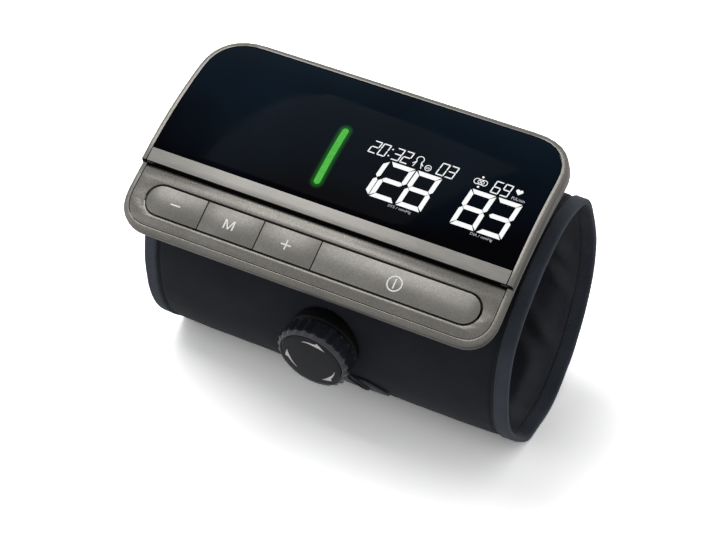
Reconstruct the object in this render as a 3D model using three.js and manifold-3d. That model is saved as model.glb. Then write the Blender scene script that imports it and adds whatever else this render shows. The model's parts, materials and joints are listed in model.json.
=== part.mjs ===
// A one-piece upper-arm blood pressure monitor: a domed display housing on a round padded cuff,
// with four flush keys and a turning knob that tightens the cuff. Millimetres, +Z up.
// X runs along the cuff and the long side of the housing, +Y is the back, the part rests on Z = 0.
import * as THREE from "three";
import { mergeVertices } from "three/addons/utils/BufferGeometryUtils.js";
import Module from "manifold-3d";

const wasm = await Module();
wasm.setup();

// Clearances
const GAP = 0.3; // between neighbouring pieces
const KEY_GAP = 0.3; // round each key
const KEY_TRAVEL = 0.5;
const REACH = 40; // of cutting shapes, from the dome's middle: past everything they cut

// Housing: plan size, dome and tilt. V runs up its slope to the back, W out of the dome.
const HOUSING_LENGTH = 148;
const HOUSING_DEPTH = 85.8;
const HOUSING_TILT = 0.4; // radians, rising to the back
const HOUSING_Y = 16.6; // where the dome's middle lies
const HOUSING_Z = 103.3;
const DOME_RADIUS = 146.2;
const SIDE_DRAW = 0.83; // how much shorter each half of the back edge is than the middle
const BACK_CORNER = 18.5;
const FRONT_CORNER = 13;
const CORNER_POWER = 2.4; // a superellipse, softer than an arc

// Frame round the plates
const FRAME_WIDTH = 2.06;
const FRAME_BEVEL = 0.9;
const FRAME_SKIRT = 1.5; // thickness of its outer wall
const FRAME_LEDGE = 2.6; // how far the ledge reaches in under the plates
const LEDGE_THICKNESS = 1;
const WALL_FRONT = 4.1; // the outer wall, measured down from the dome
const WALL_BACK = 7.4;

// The step between the display and the key panel
const STEP_V = -HOUSING_DEPTH / 2 + 24.35; // front edge of the metal strip
const STEP_RUN = 0.3;
const STRIP_WIDTH = 5.2;
const STRIP_THICKNESS = 1.3;
const STRIP_OVERHANG = 1;
const STRIP_WALL = 1.2;
const PANEL_APEX_V = -8.36; // the key panel has a dome of its own, lower than the display's
const PANEL_APEX_DROP = 3.13;
const PANEL_TONGUE = 2.6; // the key panel's back edge, tucked under the strip
const PLATE_THICKNESS = 1.3; // glass and key panel
const PLATE_DROP = 0.05; // how far both lie below the frame's face

// Lower case
const CASE_WALL = 1.6;
const CASE_FLOOR = 15.8; // depth of the case's underside below the dome's middle
const CASE_LIP = 1.1; // how far the case is set in under the frame
const HULL_INSET = 14; // how far the hull draws in down to its floor

// Key row
const KEY_ROW_V = -HOUSING_DEPTH / 2 + 12.5;
const KEY_DEPTH = 11.2;
const KEY_WIDTH = 23.2; // of each of the three small keys; the fourth takes the rest of the row
const KEY_ROW_X = [-HOUSING_LENGTH / 2 + 7.8, HOUSING_LENGTH / 2 - 7.2];
const KEY_SPLITS = [...[0, 1, 2, 3].map((i) => KEY_ROW_X[0] + i * KEY_WIDTH), KEY_ROW_X[1]];
const KEY_NAMES = ["minus_key", "memory_key", "plus_key", "start_key"];
const KEY_FLANGE = 0.8; // reach of the lip that holds a key under the panel
const KEY_FLANGE_THICKNESS = 0.7;
const KEY_BEVEL = 0.7; // chamfer round the key opening
const MAT_INSET = 6; // from the ends of the key row to the rubber mat and its board
const MAT_THICKNESS = 0.6;
const SWITCH_DOME_HEIGHT = 0.5;
const SWITCH_DOME_DIAMETER = 7;
const KEY_BOARD_THICKNESS = 0.8;
const KEY_RIBS_X = [-50, -8, 28];

// Electronics, with depths measured down from the dome's middle
const PUMP_X = -HOUSING_LENGTH / 2 + 33;
const BOARD_X = [PUMP_X + 13, HOUSING_LENGTH / 2 - 12];
const BOARD_V = [STEP_V + 3.55, HOUSING_DEPTH / 2 - 15.9];
const BOARD_TOP = 6.5;
const BOARD_THICKNESS = 1.2;
const STANDOFF_DIAMETER = 4.8;
const MODULE_X = [-2, HOUSING_LENGTH / 2 - 6];
const MODULE_V = [STEP_V + 10.55, HOUSING_DEPTH / 2 - 20.9];
const MODULE_THICKNESS = 2;
const LIGHT_BAR_X = -7.55;
const LIGHT_BAR_V = [STEP_V + 12.45, HOUSING_DEPTH / 2 - 25.8];
const LIGHT_BAR_WIDTH = 2;
const BATTERY_X = [0, HOUSING_LENGTH / 2 - 30];
const BATTERY_V = [STEP_V + 5.55, HOUSING_DEPTH / 2 - 23.9];
const BATTERY_THICKNESS = 5.4;
const SOCKET_V = 2;
const SOCKET_DEPTH_DOWN = 9;
const SOCKET_SIZE = [8, 9, 3.2]; // length, width and height
const SOCKET_SHELL = 0.6;
const SOCKET_RECESS = 4; // how far its slot in the case reaches past its mouth

// Air system
const PUMP_V = [STEP_V + 3.35, HOUSING_DEPTH / 2 - 28.9];
const PUMP_DIAMETER = 11;
const PUMP_HEAD = [12, 11, 10]; // width, length and height
const VALVE_X = PUMP_X - 14.5;
const VALVE_V = [STEP_V + 6.55, HOUSING_DEPTH / 2 - 34.9];
const VALVE_SIZE = 8.5;
const NOZZLE_DIAMETER = 3;
const MANIFOLD_X = [VALVE_X - 3.5, PUMP_X + 4];
const MANIFOLD_V = [HOUSING_DEPTH / 2 - 27.6, HOUSING_DEPTH / 2 - 19.2];
const MANIFOLD_DEPTHS = [11.5, 6.5];
const PORT_X = PUMP_X - 5;
const PORT_DIAMETER = 5;
const PORT_BORE = 2.4;
const SENSOR_X = BOARD_X[0] + 13;
const SENSOR_SIZE = [8, 8, 3.5];

// Fasteners
const FRONT_SCREW = [HOUSING_LENGTH / 2 - 9, STEP_V - 0.95];
const BACK_SCREW = [HOUSING_LENGTH / 2 - 12, HOUSING_DEPTH / 2 - 9.9];
const SCREW_PLACES = [FRONT_SCREW, BACK_SCREW].flatMap(([x, v]) => [[-x, v], [x, v]]);
const SCREW_DIAMETER = 2.2;
const SCREW_HEAD_DIAMETER = 4.2;
const SCREW_HEAD_HEIGHT = 1.5;
const SCREW_SEAT = 12.2; // depth of the counterbores' floors
const BOSS_DIAMETER = 6;
const BOSS_TOP = 9.3;
const FRONT_LUG_TOP = 5.5;
const BACK_LUG_SINK = 2.5; // of the back lugs' tops below the dome, inside the ledge's thickness
const LUG_ROOF = 0.8;
const LUG_ARM = 3;
const LUG_REACH = 2.6;
const SADDLE_SCREWS = [[BOARD_X[0] - 2, STEP_V + 6.55], [HOUSING_LENGTH / 2 - 24.5, STEP_V + 6.55]];
const SADDLE_SCREW_END = 20;
const BOARD_SCREW_DIAMETER = 1.8;
const BOARD_SCREW_HEAD = 3.4;
const BOARD_SCREW_END = 12;

// Cuff: layers from the outside in
const CUFF_WIDTH = 150;
const CUFF_POINTS = [
  // outer section as [y, z], starting at the back and running over the top
  [75.3, 46], [74, 65], [62, 87.8], [48.5, 93.1], [36.7, 91.7], [16.4, 80.4],
  [2.2, 65.3], [-1.8, 52], [-1.9, 39], [-0.3, 28.5], [3, 20.2], [7.6, 13.4], [13.2, 7.7], [18.9, 2.6],
  [22, 0.6], [26, -0.1], [32, -0.1], [38, 0], [44, 1.4], [50, 4.6], [56, 9.2], [62, 15.2], [70.6, 29.5],
];
const CUFF_STEPS = 72;
const SLEEVE_THICKNESS = 2;
const SLEEVE_DRAW = 1.4; // how far the padded sleeve draws in at the binding
const SLEEVE_STATIONS = 6;
const STIFFENER_THICKNESS = 1;
const BLADDER_THICKNESS = 1.2;
const LINER_THICKNESS = 1;
const BINDING_WIDTH = 4.2;
const BINDING_PROUD = 0.4; // how far it stands out from the sleeve's edge and the lining
const CUFF_SPLIT = [0.66, 0.7]; // share of the way round where stiffener and bladder are open
const TAB_THICKNESS = 0.7; // of the grey tab beside the knob that the lace runs over
const TAB_STATIONS = [
  // x, and the shares of the way round between which the tab lies there
  [7.2, 0.592, 0.628], [12.8, 0.589, 0.626], [17.8, 0.5875, 0.6205],
  [22.6, 0.598, 0.6185], [26.1, 0.607, 0.6135],
];
const LACE_DIAMETER = 0.9;
const LACE_POINTS = [
  // x and share along the lace: out of the knob's base, round its eye and back
  [10.9, 0.5672], [12.6, 0.577], [15, 0.587], [17.8, 0.5975], [18.7, 0.604], [17.2, 0.608], [14.1, 0.5985],
  [10.6, 0.585], [9.2, 0.5715],
];

// Saddle between housing and cuff
const SADDLE_X = HOUSING_LENGTH / 2 - 20;
const SADDLE_V = [-HOUSING_DEPTH / 2 + 23.9, HOUSING_DEPTH / 2 - 16.9];
const SADDLE_CORNER = 9;
const SADDLE_DEPTH = 14; // more than reaches the cuff anywhere
const SADDLE_FLARE = 2.5; // how much wider it is under the case than at that depth

// Tightening knob on the front of the cuff
const KNOB_X = 2.8;
const KNOB_Z = 41.25;
const KNOB_DROOP = 0.155; // radians below level
const KNOB_RADIUS = 14.4;
const KNOB_HEIGHT = 6.5;
const KNOB_RIBS = 24;
const KNOB_RIB_DEPTH = 0.5;
const KNOB_SHOULDER = 1.3;
const KNOB_WALL = 2.4;
const KNOB_ROOF = 1.6;
const KNOB_CAP_RADIUS = 12.2;
const KNOB_CAP_THICKNESS = 1;
const KNOB_CAP_CROWN = 0.5;
const KNOB_BASE_RADIUS = 13.8;
const KNOB_BASE_HEIGHT = 3.1; // above the sleeve at the knob's middle
const KNOB_BASE_ROOT = 4; // how far the base reaches in behind that level, to where the sleeve curves away
const KNOB_SCREW_POCKET = 1.6;
const KNOB_SCREW_HEAD_RADIUS = 3.4;
const SPINDLE_RADIUS = 2;
const SPOOL_RADIUS = 6.4;
const SPOOL_SEAT = 1.4;
const SPOOL_HEIGHT = 1.5;
const RATCHET_RADII = [8.4, 10.8];
const RATCHET_HEIGHT = 1.8;
const RATCHET_TEETH = 24;
const PAWL_REACH = 7;
const HUB_RADIUS = 4.6;

const look = (color, roughness, metalness = 0) =>
  new THREE.MeshStandardMaterial({ color, roughness, metalness });
const taupeMetal = () => look(0x857c73, 0.36, 0.8);
const darkPlastic = () => look(0x1c1c1e, 0.6);
const greenBoard = () => look(0x1f4d33, 0.55);
const steel = () => look(0xb9bcc0, 0.3, 1);
const fabric = (color) => look(color, 0.95);

// Geometry helpers

function solidOf(geometry) {
  const bare = geometry.clone();
  bare.deleteAttribute("normal");
  bare.deleteAttribute("uv");
  const merged = mergeVertices(bare, 1e-4);
  return new wasm.Manifold(
    new wasm.Mesh({
      numProp: 3,
      vertProperties: merged.attributes.position.array,
      triVerts: new Uint32Array(merged.index.array),
    }),
  );
}

function geometryOf(solid) {
  const made = solid.getMesh();
  const geometry = new THREE.BufferGeometry();
  geometry.setAttribute("position", new THREE.BufferAttribute(made.vertProperties, 3));
  geometry.setIndex(new THREE.BufferAttribute(made.triVerts, 1));
  return faceted(geometry);
}

function faceted(geometry) {
  const flat = geometry.toNonIndexed();
  flat.computeVertexNormals();
  return flat;
}

const cut = (geometry, ...tools) =>
  geometryOf(tools.reduce((left, tool) => left.subtract(solidOf(tool)), solidOf(geometry)));

const join = (geometry, ...more) =>
  geometryOf(more.reduce((sum, piece) => sum.add(solidOf(piece)), solidOf(geometry)));

const overlapOf = (geometry, other) => geometryOf(solidOf(geometry).intersect(solidOf(other)));

// A closed skin through equal loops of points: capped at both ends, or joined end to end as a ring.
function skin(loops, ring = false) {
  const count = loops[0].length;
  const points = loops.flat();
  const faces = [];
  const last = ring ? loops.length : loops.length - 1;
  for (let i = 0; i < last; i++) {
    const near = i * count;
    const far = ((i + 1) % loops.length) * count;
    for (let j = 0; j < count; j++) {
      const k = (j + 1) % count;
      faces.push(near + j, near + k, far + k, near + j, far + k, far + j);
    }
  }
  if (!ring) {
    for (const [start, turned] of [[0, true], [last * count, false]]) {
      const loop = points.slice(start, start + count);
      const middle = [0, 1, 2].map((axis) => loop.reduce((sum, point) => sum + point[axis], 0) / count);
      const hub = points.push(middle) - 1;
      for (let j = 0; j < count; j++) {
        const k = (j + 1) % count;
        faces.push(...(turned ? [start + k, start + j, hub] : [start + j, start + k, hub]));
      }
    }
  }
  return facedOut(points, faces);
}

// Turns the faces round if the surface they make is inside out.
function facedOut(points, faces) {
  let volume = 0;
  for (let i = 0; i < faces.length; i += 3) {
    const [a, b, c] = [0, 1, 2].map((j) => new THREE.Vector3(...points[faces[i + j]]));
    volume += a.dot(b.cross(c));
  }
  const geometry = new THREE.BufferGeometry();
  geometry.setAttribute("position", new THREE.Float32BufferAttribute(points.flat(), 3));
  geometry.setIndex(volume > 0 ? faces : faces.toReversed());
  return faceted(geometry);
}

const shapeOf = (points) => new THREE.Shape(points.map(([a, b]) => new THREE.Vector2(a, b)));

const upright = (points, from, to) =>
  new THREE.ExtrudeGeometry(shapeOf(points), { depth: to - from, bevelEnabled: false }).translate(0, 0, from);

// An outline in the plane across X, extruded along X.
function alongX(points, from, to) {
  const turn = new THREE.Matrix4().makeBasis(
    new THREE.Vector3(0, 1, 0),
    new THREE.Vector3(0, 0, 1),
    new THREE.Vector3(1, 0, 0),
  );
  return upright(points, from, to).applyMatrix4(turn);
}

const block = ([x0, x1], [y0, y1], [z0, z1]) =>
  new THREE.BoxGeometry(x1 - x0, y1 - y0, z1 - z0).translate((x0 + x1) / 2, (y0 + y1) / 2, (z0 + z1) / 2);

const span = (middle, size) => [middle - size / 2, middle + size / 2];

const rectangle = ([x0, x1], [y0, y1]) => [[x0, y0], [x1, y0], [x1, y1], [x0, y1]];

// A rectangle with round corners.
function roundedRectangle([x0, x1], [y0, y1], radius, steps = 6) {
  const corners = [
    [x1 - radius, y0 + radius],
    [x1 - radius, y1 - radius],
    [x0 + radius, y1 - radius],
    [x0 + radius, y0 + radius],
  ];
  return corners.flatMap(([x, y], quarter) =>
    Array.from({ length: steps + 1 }, (_, i) => {
      const angle = ((quarter - 1 + i / steps) * Math.PI) / 2;
      return [x + radius * Math.cos(angle), y + radius * Math.sin(angle)];
    }),
  );
}

const post = (x, y, radius, from, to, sides = 16) =>
  new THREE.CylinderGeometry(radius, radius, to - from, sides)
    .rotateX(Math.PI / 2)
    .translate(x, y, (from + to) / 2);

// A post lying along Y.
const rod = (x, from, to, z, radius, sides = 16) =>
  new THREE.CylinderGeometry(radius, radius, to - from, sides).translate(x, (from + to) / 2, z);

function named(name, geometry, material) {
  const mesh = new THREE.Mesh(geometry, material);
  mesh.name = name;
  return mesh;
}

// Surfaces of the housing, as heights W over V

const domeW = (v) => Math.sqrt(DOME_RADIUS ** 2 - v ** 2) - DOME_RADIUS;
const panelW = (v) => Math.sqrt(DOME_RADIUS ** 2 - (v - PANEL_APEX_V) ** 2) - DOME_RADIUS - PANEL_APEX_DROP;
const faceW = (v) => (v > STEP_V - STEP_RUN / 2 ? domeW(v) : panelW(v));
const wallW = (v) => domeW(v) - THREE.MathUtils.lerp(WALL_FRONT, WALL_BACK, v / HOUSING_DEPTH + 0.5);
const sideX = (v, inset) => HOUSING_LENGTH / 2 - inset - (SIDE_DRAW * v) / (HOUSING_DEPTH / 2);

const cornerPoint = (radius, angle) => [
  radius * Math.max(Math.cos(angle), 0) ** (2 / CORNER_POWER),
  radius * Math.max(Math.sin(angle), 0) ** (2 / CORNER_POWER),
];

// The plan outline as [x, v], drawn in by inset, with stations where the face steps down.
function housingOutline(inset, cornerSteps = 8) {
  const front = -HOUSING_DEPTH / 2 + inset;
  const back = HOUSING_DEPTH / 2 - inset;
  const backRadius = Math.max(BACK_CORNER - inset, 1);
  const frontRadius = Math.max(FRONT_CORNER - inset, 1);
  const right = [];
  for (let i = 0; i <= cornerSteps; i++) {
    const [a, b] = cornerPoint(frontRadius, ((1 - i / cornerSteps) * Math.PI) / 2);
    const v = front + frontRadius - b;
    right.push([sideX(v, inset) - frontRadius + a, v]);
  }
  const sideStart = -HOUSING_DEPTH / 2 + FRONT_CORNER;
  const sideEnd = HOUSING_DEPTH / 2 - BACK_CORNER;
  const stations = [(sideStart + STEP_V) / 2, STEP_V - STEP_RUN, STEP_V];
  for (let i = 1; i < 6; i++) stations.push(THREE.MathUtils.lerp(STEP_V, sideEnd, i / 6));
  for (const v of stations) right.push([sideX(v, inset), v]);
  for (let i = 0; i <= cornerSteps; i++) {
    const [a, b] = cornerPoint(backRadius, ((i / cornerSteps) * Math.PI) / 2);
    const v = back - backRadius + b;
    right.push([sideX(v, inset) - backRadius + a, v]);
  }
  return [...right, ...right.toReversed().map(([x, v]) => [-x, v])];
}

const frameLoop = (inset, depth) => housingOutline(inset).map(([x, v]) => [x, v, faceW(v) - depth]);
const wallLoop = (inset, below = 0) => housingOutline(inset).map(([x, v]) => [x, v, wallW(v) - below]);

// A plate under a plan outline that follows a surface between two depths.
function domedPlate(outline, surface, top, bottom) {
  const steps = 14;
  const vs = outline.map(([, v]) => v);
  const from = Math.min(...vs) - 1;
  const to = Math.max(...vs) + 1;
  const line = Array.from({ length: steps + 1 }, (_, i) => THREE.MathUtils.lerp(from, to, i / steps));
  const under = line.map((v) => [v, surface(v) - bottom]);
  const over = line.toReversed().map((v) => [v, surface(v) - top]);
  const slab = alongX([...under, ...over], -HOUSING_LENGTH, HOUSING_LENGTH);
  return overlapOf(slab, upright(outline, -REACH, REACH));
}

const LEDGE_TOP = PLATE_DROP + PLATE_THICKNESS + GAP;
const PLATE_INSET = FRAME_WIDTH + GAP;
const BACK_LUG_TOP = BACK_LUG_SINK - domeW(BACK_SCREW[1] + LUG_REACH);
const LUG_TOPS = [FRONT_LUG_TOP, FRONT_LUG_TOP, BACK_LUG_TOP, BACK_LUG_TOP];

// Frame: bevelled rim, outer wall, ledge under the plates and a lug for each case screw

function bezelFrame() {
  const ledgeInset = FRAME_WIDTH + FRAME_LEDGE;
  const ledgeBottom = LEDGE_TOP + LEDGE_THICKNESS;
  const ring = skin(
    [
      frameLoop(FRAME_WIDTH, 0),
      frameLoop(FRAME_BEVEL, 0),
      frameLoop(FRAME_BEVEL * 0.3, FRAME_BEVEL * 0.25),
      frameLoop(0, FRAME_BEVEL),
      wallLoop(0),
      wallLoop(FRAME_SKIRT),
      frameLoop(FRAME_SKIRT, ledgeBottom),
      frameLoop(ledgeInset, ledgeBottom),
      frameLoop(ledgeInset, LEDGE_TOP),
      frameLoop(FRAME_WIDTH, LEDGE_TOP),
    ],
    true,
  );
  const lugs = SCREW_PLACES.map(([x, v], i) => frameLug(x, v, -LUG_TOPS[i]));
  const pilots = SCREW_PLACES.map(([x, v], i) =>
    post(x, v, SCREW_DIAMETER / 2 + GAP, -BOSS_TOP - 1, -LUG_TOPS[i] - LUG_ROOF),
  );
  return cut(join(ring, ...lugs), ...pilots);
}

// The front lugs reach the ledge by a bar, the back ones by a pad in the corner.
function frameLug(x, v, top) {
  const bottom = -BOSS_TOP + GAP;
  const side = Math.sign(x);
  const barEnd = side * (HOUSING_LENGTH / 2 - FRAME_WIDTH - 1);
  const arm =
    v > 0
      ? post(x + side * LUG_REACH, v + LUG_REACH, BOSS_DIAMETER / 2, top - 1.1, top)
      : block([Math.min(x, barEnd), Math.max(x, barEnd)], span(v, LUG_ARM), [top - 1, top]);
  return join(post(x, v, BOSS_DIAMETER / 2, bottom, top), arm);
}

// Plates let into the frame

function displayWindow() {
  const front = STEP_V + STRIP_WIDTH + GAP;
  const kept = housingOutline(PLATE_INSET).filter(([, v]) => v > front);
  const outline = [[sideX(front, PLATE_INSET), front], ...kept, [-sideX(front, PLATE_INSET), front]];
  return domedPlate(outline, domeW, PLATE_DROP, PLATE_DROP + PLATE_THICKNESS);
}

// The strip overhangs the key panel, and a wall set back under it closes the step.
function frontStrip() {
  const half = sideX(STEP_V + STRIP_WIDTH, PLATE_INSET);
  const back = STEP_V + STRIP_WIDTH;
  const lip = domedPlate(rectangle([-half, half], [STEP_V, back]), domeW, 0, STRIP_THICKNESS);
  const between = sideX(STEP_V, FRAME_WIDTH + FRAME_LEDGE + GAP);
  const wallV = [STEP_V + STRIP_OVERHANG, STEP_V + STRIP_OVERHANG + STRIP_WALL];
  const foot = panelW(wallV[0]) - PLATE_DROP + GAP;
  const wall = block([-between, between], wallV, [foot, domeW(STEP_V) - STRIP_THICKNESS / 2]);
  return join(lip, wall);
}

// Key row: a frame of its own, P up the panel's slope and Q out of it

const KEY_SLOPE = Math.asin((PANEL_APEX_V - KEY_ROW_V) / DOME_RADIUS);
const keyPlace = new THREE.Matrix4()
  .makeTranslation(0, KEY_ROW_V, panelW(KEY_ROW_V))
  .multiply(new THREE.Matrix4().makeRotationX(KEY_SLOPE));
const KEY_LIP_TOP = PLATE_DROP + PLATE_THICKNESS + GAP;
const KEY_BOTTOM = KEY_LIP_TOP + KEY_FLANGE_THICKNESS;
const MAT_TOP = KEY_BOTTOM + KEY_TRAVEL + GAP + SWITCH_DOME_HEIGHT;
const KEY_BOARD_TOP = MAT_TOP + MAT_THICKNESS + GAP;
const KEY_BOARD_BOTTOM = KEY_BOARD_TOP + KEY_BOARD_THICKNESS;
const MAT_SPAN = [KEY_SPLITS[0] + MAT_INSET, KEY_SPLITS.at(-1) - MAT_INSET];
const MAT_REACH = [-KEY_DEPTH / 2 - KEY_FLANGE, KEY_DEPTH / 2 + KEY_FLANGE];

// The stadium that the four keys fill together, grown by outset.
function keyStadium(outset, steps = 10) {
  const radius = KEY_DEPTH / 2;
  const centres = [KEY_SPLITS.at(-1) - radius, KEY_SPLITS[0] + radius];
  return centres.flatMap((x, side) =>
    Array.from({ length: steps + 1 }, (_, i) => {
      const angle = -Math.PI / 2 + (i / steps + side) * Math.PI;
      return [x + (radius + outset) * Math.cos(angle), (radius + outset) * Math.sin(angle)];
    }),
  );
}

const stadiumLoop = (outset, q) => keyStadium(outset).map(([x, p]) => [x, p, q]);

function keyPanel() {
  const back = STEP_V - GAP;
  const kept = housingOutline(PLATE_INSET).filter(([, v]) => v < back);
  const edge = sideX(back, PLATE_INSET);
  const tongue = sideX(STEP_V, FRAME_WIDTH + FRAME_LEDGE + GAP);
  const tip = STEP_V + PANEL_TONGUE;
  const outline = [
    ...kept.filter(([x]) => x > 0),
    [edge, back], [tongue, back], [tongue, tip], [-tongue, tip], [-tongue, back], [-edge, back],
    ...kept.filter(([x]) => x < 0),
  ];
  const opening = skin([
    stadiumLoop(KEY_GAP, -4),
    stadiumLoop(KEY_GAP, -KEY_BEVEL),
    stadiumLoop(KEY_GAP + KEY_BEVEL, 0),
    stadiumLoop(KEY_GAP + KEY_BEVEL, 2),
  ]);
  const plate = domedPlate(outline, panelW, PLATE_DROP, PLATE_DROP + PLATE_THICKNESS);
  return cut(plate, opening.applyMatrix4(keyPlace));
}

// One key: its share of the stadium over a wider lip that holds it under the panel.
function keyCap(index) {
  const reach = KEY_DEPTH;
  const from = index === 0 ? KEY_SPLITS[0] - reach : KEY_SPLITS[index] + KEY_GAP / 2;
  const to = index === KEY_NAMES.length - 1 ? KEY_SPLITS.at(-1) + reach : KEY_SPLITS[index + 1] - KEY_GAP / 2;
  const cap = upright(keyStadium(0), -KEY_BOTTOM, -PLATE_DROP);
  const lip = upright(keyStadium(KEY_GAP + KEY_FLANGE), -KEY_BOTTOM, -KEY_LIP_TOP);
  return overlapOf(join(cap, lip), block([from, to], [-reach, reach], [-KEY_BOTTOM - 1, 1]));
}

function keyMat() {
  const sheet = block(MAT_SPAN, MAT_REACH, [-MAT_TOP - MAT_THICKNESS, -MAT_TOP]);
  const overlap = 0.2;
  const height = SWITCH_DOME_HEIGHT + overlap;
  const domes = KEY_NAMES.map((_, i) =>
    new THREE.CylinderGeometry(SWITCH_DOME_DIAMETER / 4, SWITCH_DOME_DIAMETER / 2, height, 16)
      .rotateX(Math.PI / 2)
      .translate((KEY_SPLITS[i] + KEY_SPLITS[i + 1]) / 2, 0, -MAT_TOP + (SWITCH_DOME_HEIGHT - overlap) / 2),
  );
  return join(sheet, ...domes);
}

const keyBoard = () => block(MAT_SPAN, MAT_REACH, [-KEY_BOARD_BOTTOM, -KEY_BOARD_TOP]);

// Lower case: a hull that draws in from under the frame to a flat floor, with all its bosses

const FLOOR_TOP = CASE_FLOOR - CASE_WALL;
const BOARD_BOTTOM = BOARD_TOP + BOARD_THICKNESS;
const STANDOFFS = [BOARD_X[0] + 3, BOARD_X[1] - 3].flatMap((x) =>
  [BOARD_V[0] + 3, BOARD_V[1] - 3].map((v) => [x, v]),
);
const BOARD_SCREWS = [STANDOFFS[0], STANDOFFS[3]];
const PUMP_DOWN = FLOOR_TOP - GAP - PUMP_DIAMETER / 2;
const SOCKET_START = -HOUSING_LENGTH / 2 + CASE_LIP + 0.9;
const SOCKET_X = [SOCKET_START, SOCKET_START + SOCKET_SIZE[0]];
const PORT_V = (MANIFOLD_V[0] + MANIFOLD_V[1]) / 2;

function hullLoops(inset, floor) {
  const steps = 6;
  return Array.from({ length: steps + 1 }, (_, i) => {
    const angle = ((i / steps) * Math.PI) / 2;
    const loop = wallLoop(inset + HULL_INSET * (1 - Math.cos(angle)), GAP);
    return loop.map(([x, v, w]) => [x, v, THREE.MathUtils.lerp(w, -floor, Math.sin(angle))]);
  });
}

const BELOW_CASE = -CASE_FLOOR - 1;

function lowerCase() {
  const outer = hullLoops(CASE_LIP, CASE_FLOOR);
  const inner = hullLoops(CASE_LIP + CASE_WALL, FLOOR_TOP);
  const shell = skin([...outer.toReversed(), ...inner]);
  return cut(
    join(shell, caseFittings()),
    ...SCREW_PLACES.map(([x, v]) => post(x, v, SCREW_HEAD_DIAMETER / 2 + GAP, BELOW_CASE, -SCREW_SEAT)),
    ...SCREW_PLACES.map(([x, v]) => post(x, v, SCREW_DIAMETER / 2 + GAP, BELOW_CASE, -BOSS_TOP + 1)),
    ...SADDLE_SCREWS.map(([x, v]) => post(x, v, SCREW_DIAMETER / 2 + GAP, BELOW_CASE, -FLOOR_TOP + 1)),
    ...BOARD_SCREWS.map(([x, v]) =>
      post(x, v, BOARD_SCREW_DIAMETER / 2 + GAP, -BOARD_SCREW_END - GAP, -BOARD_BOTTOM),
    ),
    post(PORT_X, PORT_V, PORT_DIAMETER / 2 + GAP, BELOW_CASE, -FLOOR_TOP + 1),
    block(
      [-HOUSING_LENGTH, SOCKET_X[0] + SOCKET_RECESS],
      span(SOCKET_V, SOCKET_SIZE[1] + 2 * GAP),
      span(-SOCKET_DEPTH_DOWN, SOCKET_SIZE[2] + 2 * GAP),
    ),
    rod(PUMP_X, PUMP_V[0], PUMP_V[1], -PUMP_DOWN, PUMP_DIAMETER / 2 + GAP, 24),
  );
}

// Bosses, standoffs, ribs and shelves, trimmed so that each grows out of the middle of the wall.
function caseFittings() {
  const midWall = CASE_LIP + CASE_WALL / 2;
  const rim = housingOutline(midWall).map(([x, v]) => [x, v, 0]);
  const inside = skin([rim, ...hullLoops(midWall, CASE_FLOOR - CASE_WALL / 2)]);
  const socketTop = -SOCKET_DEPTH_DOWN - SOCKET_SIZE[2] / 2 - GAP;
  const fittings = join(
    ...SCREW_PLACES.map(([x, v]) => post(x, v, BOSS_DIAMETER / 2, BELOW_CASE, -BOSS_TOP)),
    ...STANDOFFS.map(([x, v]) => post(x, v, STANDOFF_DIAMETER / 2, BELOW_CASE, -BOARD_BOTTOM - GAP)),
    ...KEY_RIBS_X.map(keyRib),
    block(SOCKET_X, span(SOCKET_V, SOCKET_SIZE[1]), [BELOW_CASE, socketTop]),
    block(span(PUMP_X, PUMP_DIAMETER - 2), [PUMP_V[0] + 3, PUMP_V[0] + 9], [BELOW_CASE, -PUMP_DOWN - 2]),
  );
  return overlapOf(fittings, inside);
}

// A rib in the front of the hull whose sloping top carries the key board.
function keyRib(x) {
  const [front, back] = MAT_REACH.map((p) =>
    new THREE.Vector3(0, p, -KEY_BOARD_BOTTOM - GAP).applyMatrix4(keyPlace),
  );
  const outline = [[front.y, BELOW_CASE], [back.y, BELOW_CASE], [back.y, back.z], [front.y, front.z]];
  return alongX(outline, x - 1, x + 1);
}

// Boards, display and battery

function mainBoard() {
  const holes = BOARD_SCREWS.map(([x, v]) =>
    post(x, v, BOARD_SCREW_DIAMETER / 2 + GAP, -BOARD_BOTTOM - 1, -BOARD_TOP + 1),
  );
  return cut(block(BOARD_X, BOARD_V, [-BOARD_BOTTOM, -BOARD_TOP]), ...holes);
}

const displayModule = () =>
  block(MODULE_X, MODULE_V, [-BOARD_TOP + GAP, -BOARD_TOP + GAP + MODULE_THICKNESS]);

// The bar of clear plastic that carries the status light up to the glass.
function lightGuide() {
  const steps = 6;
  const top = Array.from({ length: steps + 1 }, (_, i) => {
    const v = THREE.MathUtils.lerp(LIGHT_BAR_V[1], LIGHT_BAR_V[0], i / steps);
    return [v, domeW(v) - LEDGE_TOP];
  });
  const foot = -BOARD_TOP + GAP;
  const sides = span(LIGHT_BAR_X, LIGHT_BAR_WIDTH);
  return alongX([[LIGHT_BAR_V[0], foot], [LIGHT_BAR_V[1], foot], ...top], ...sides);
}

const battery = () => block(BATTERY_X, BATTERY_V, [-FLOOR_TOP + GAP, -FLOOR_TOP + GAP + BATTERY_THICKNESS]);

function chargingSocket() {
  const [length, width, height] = SOCKET_SIZE;
  const shell = block(SOCKET_X, span(SOCKET_V, width), span(-SOCKET_DEPTH_DOWN, height));
  const mouth = block(
    [SOCKET_X[0] - 1, SOCKET_X[0] + length * 0.75],
    span(SOCKET_V, width - 2 * SOCKET_SHELL),
    span(-SOCKET_DEPTH_DOWN, height - 2 * SOCKET_SHELL),
  );
  const tongue = block(
    [SOCKET_X[0] + 1, SOCKET_X[1] - 1],
    span(SOCKET_V, width * 0.6),
    span(-SOCKET_DEPTH_DOWN, SOCKET_SHELL),
  );
  return join(cut(shell, mouth), tongue);
}

// Air system

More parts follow.
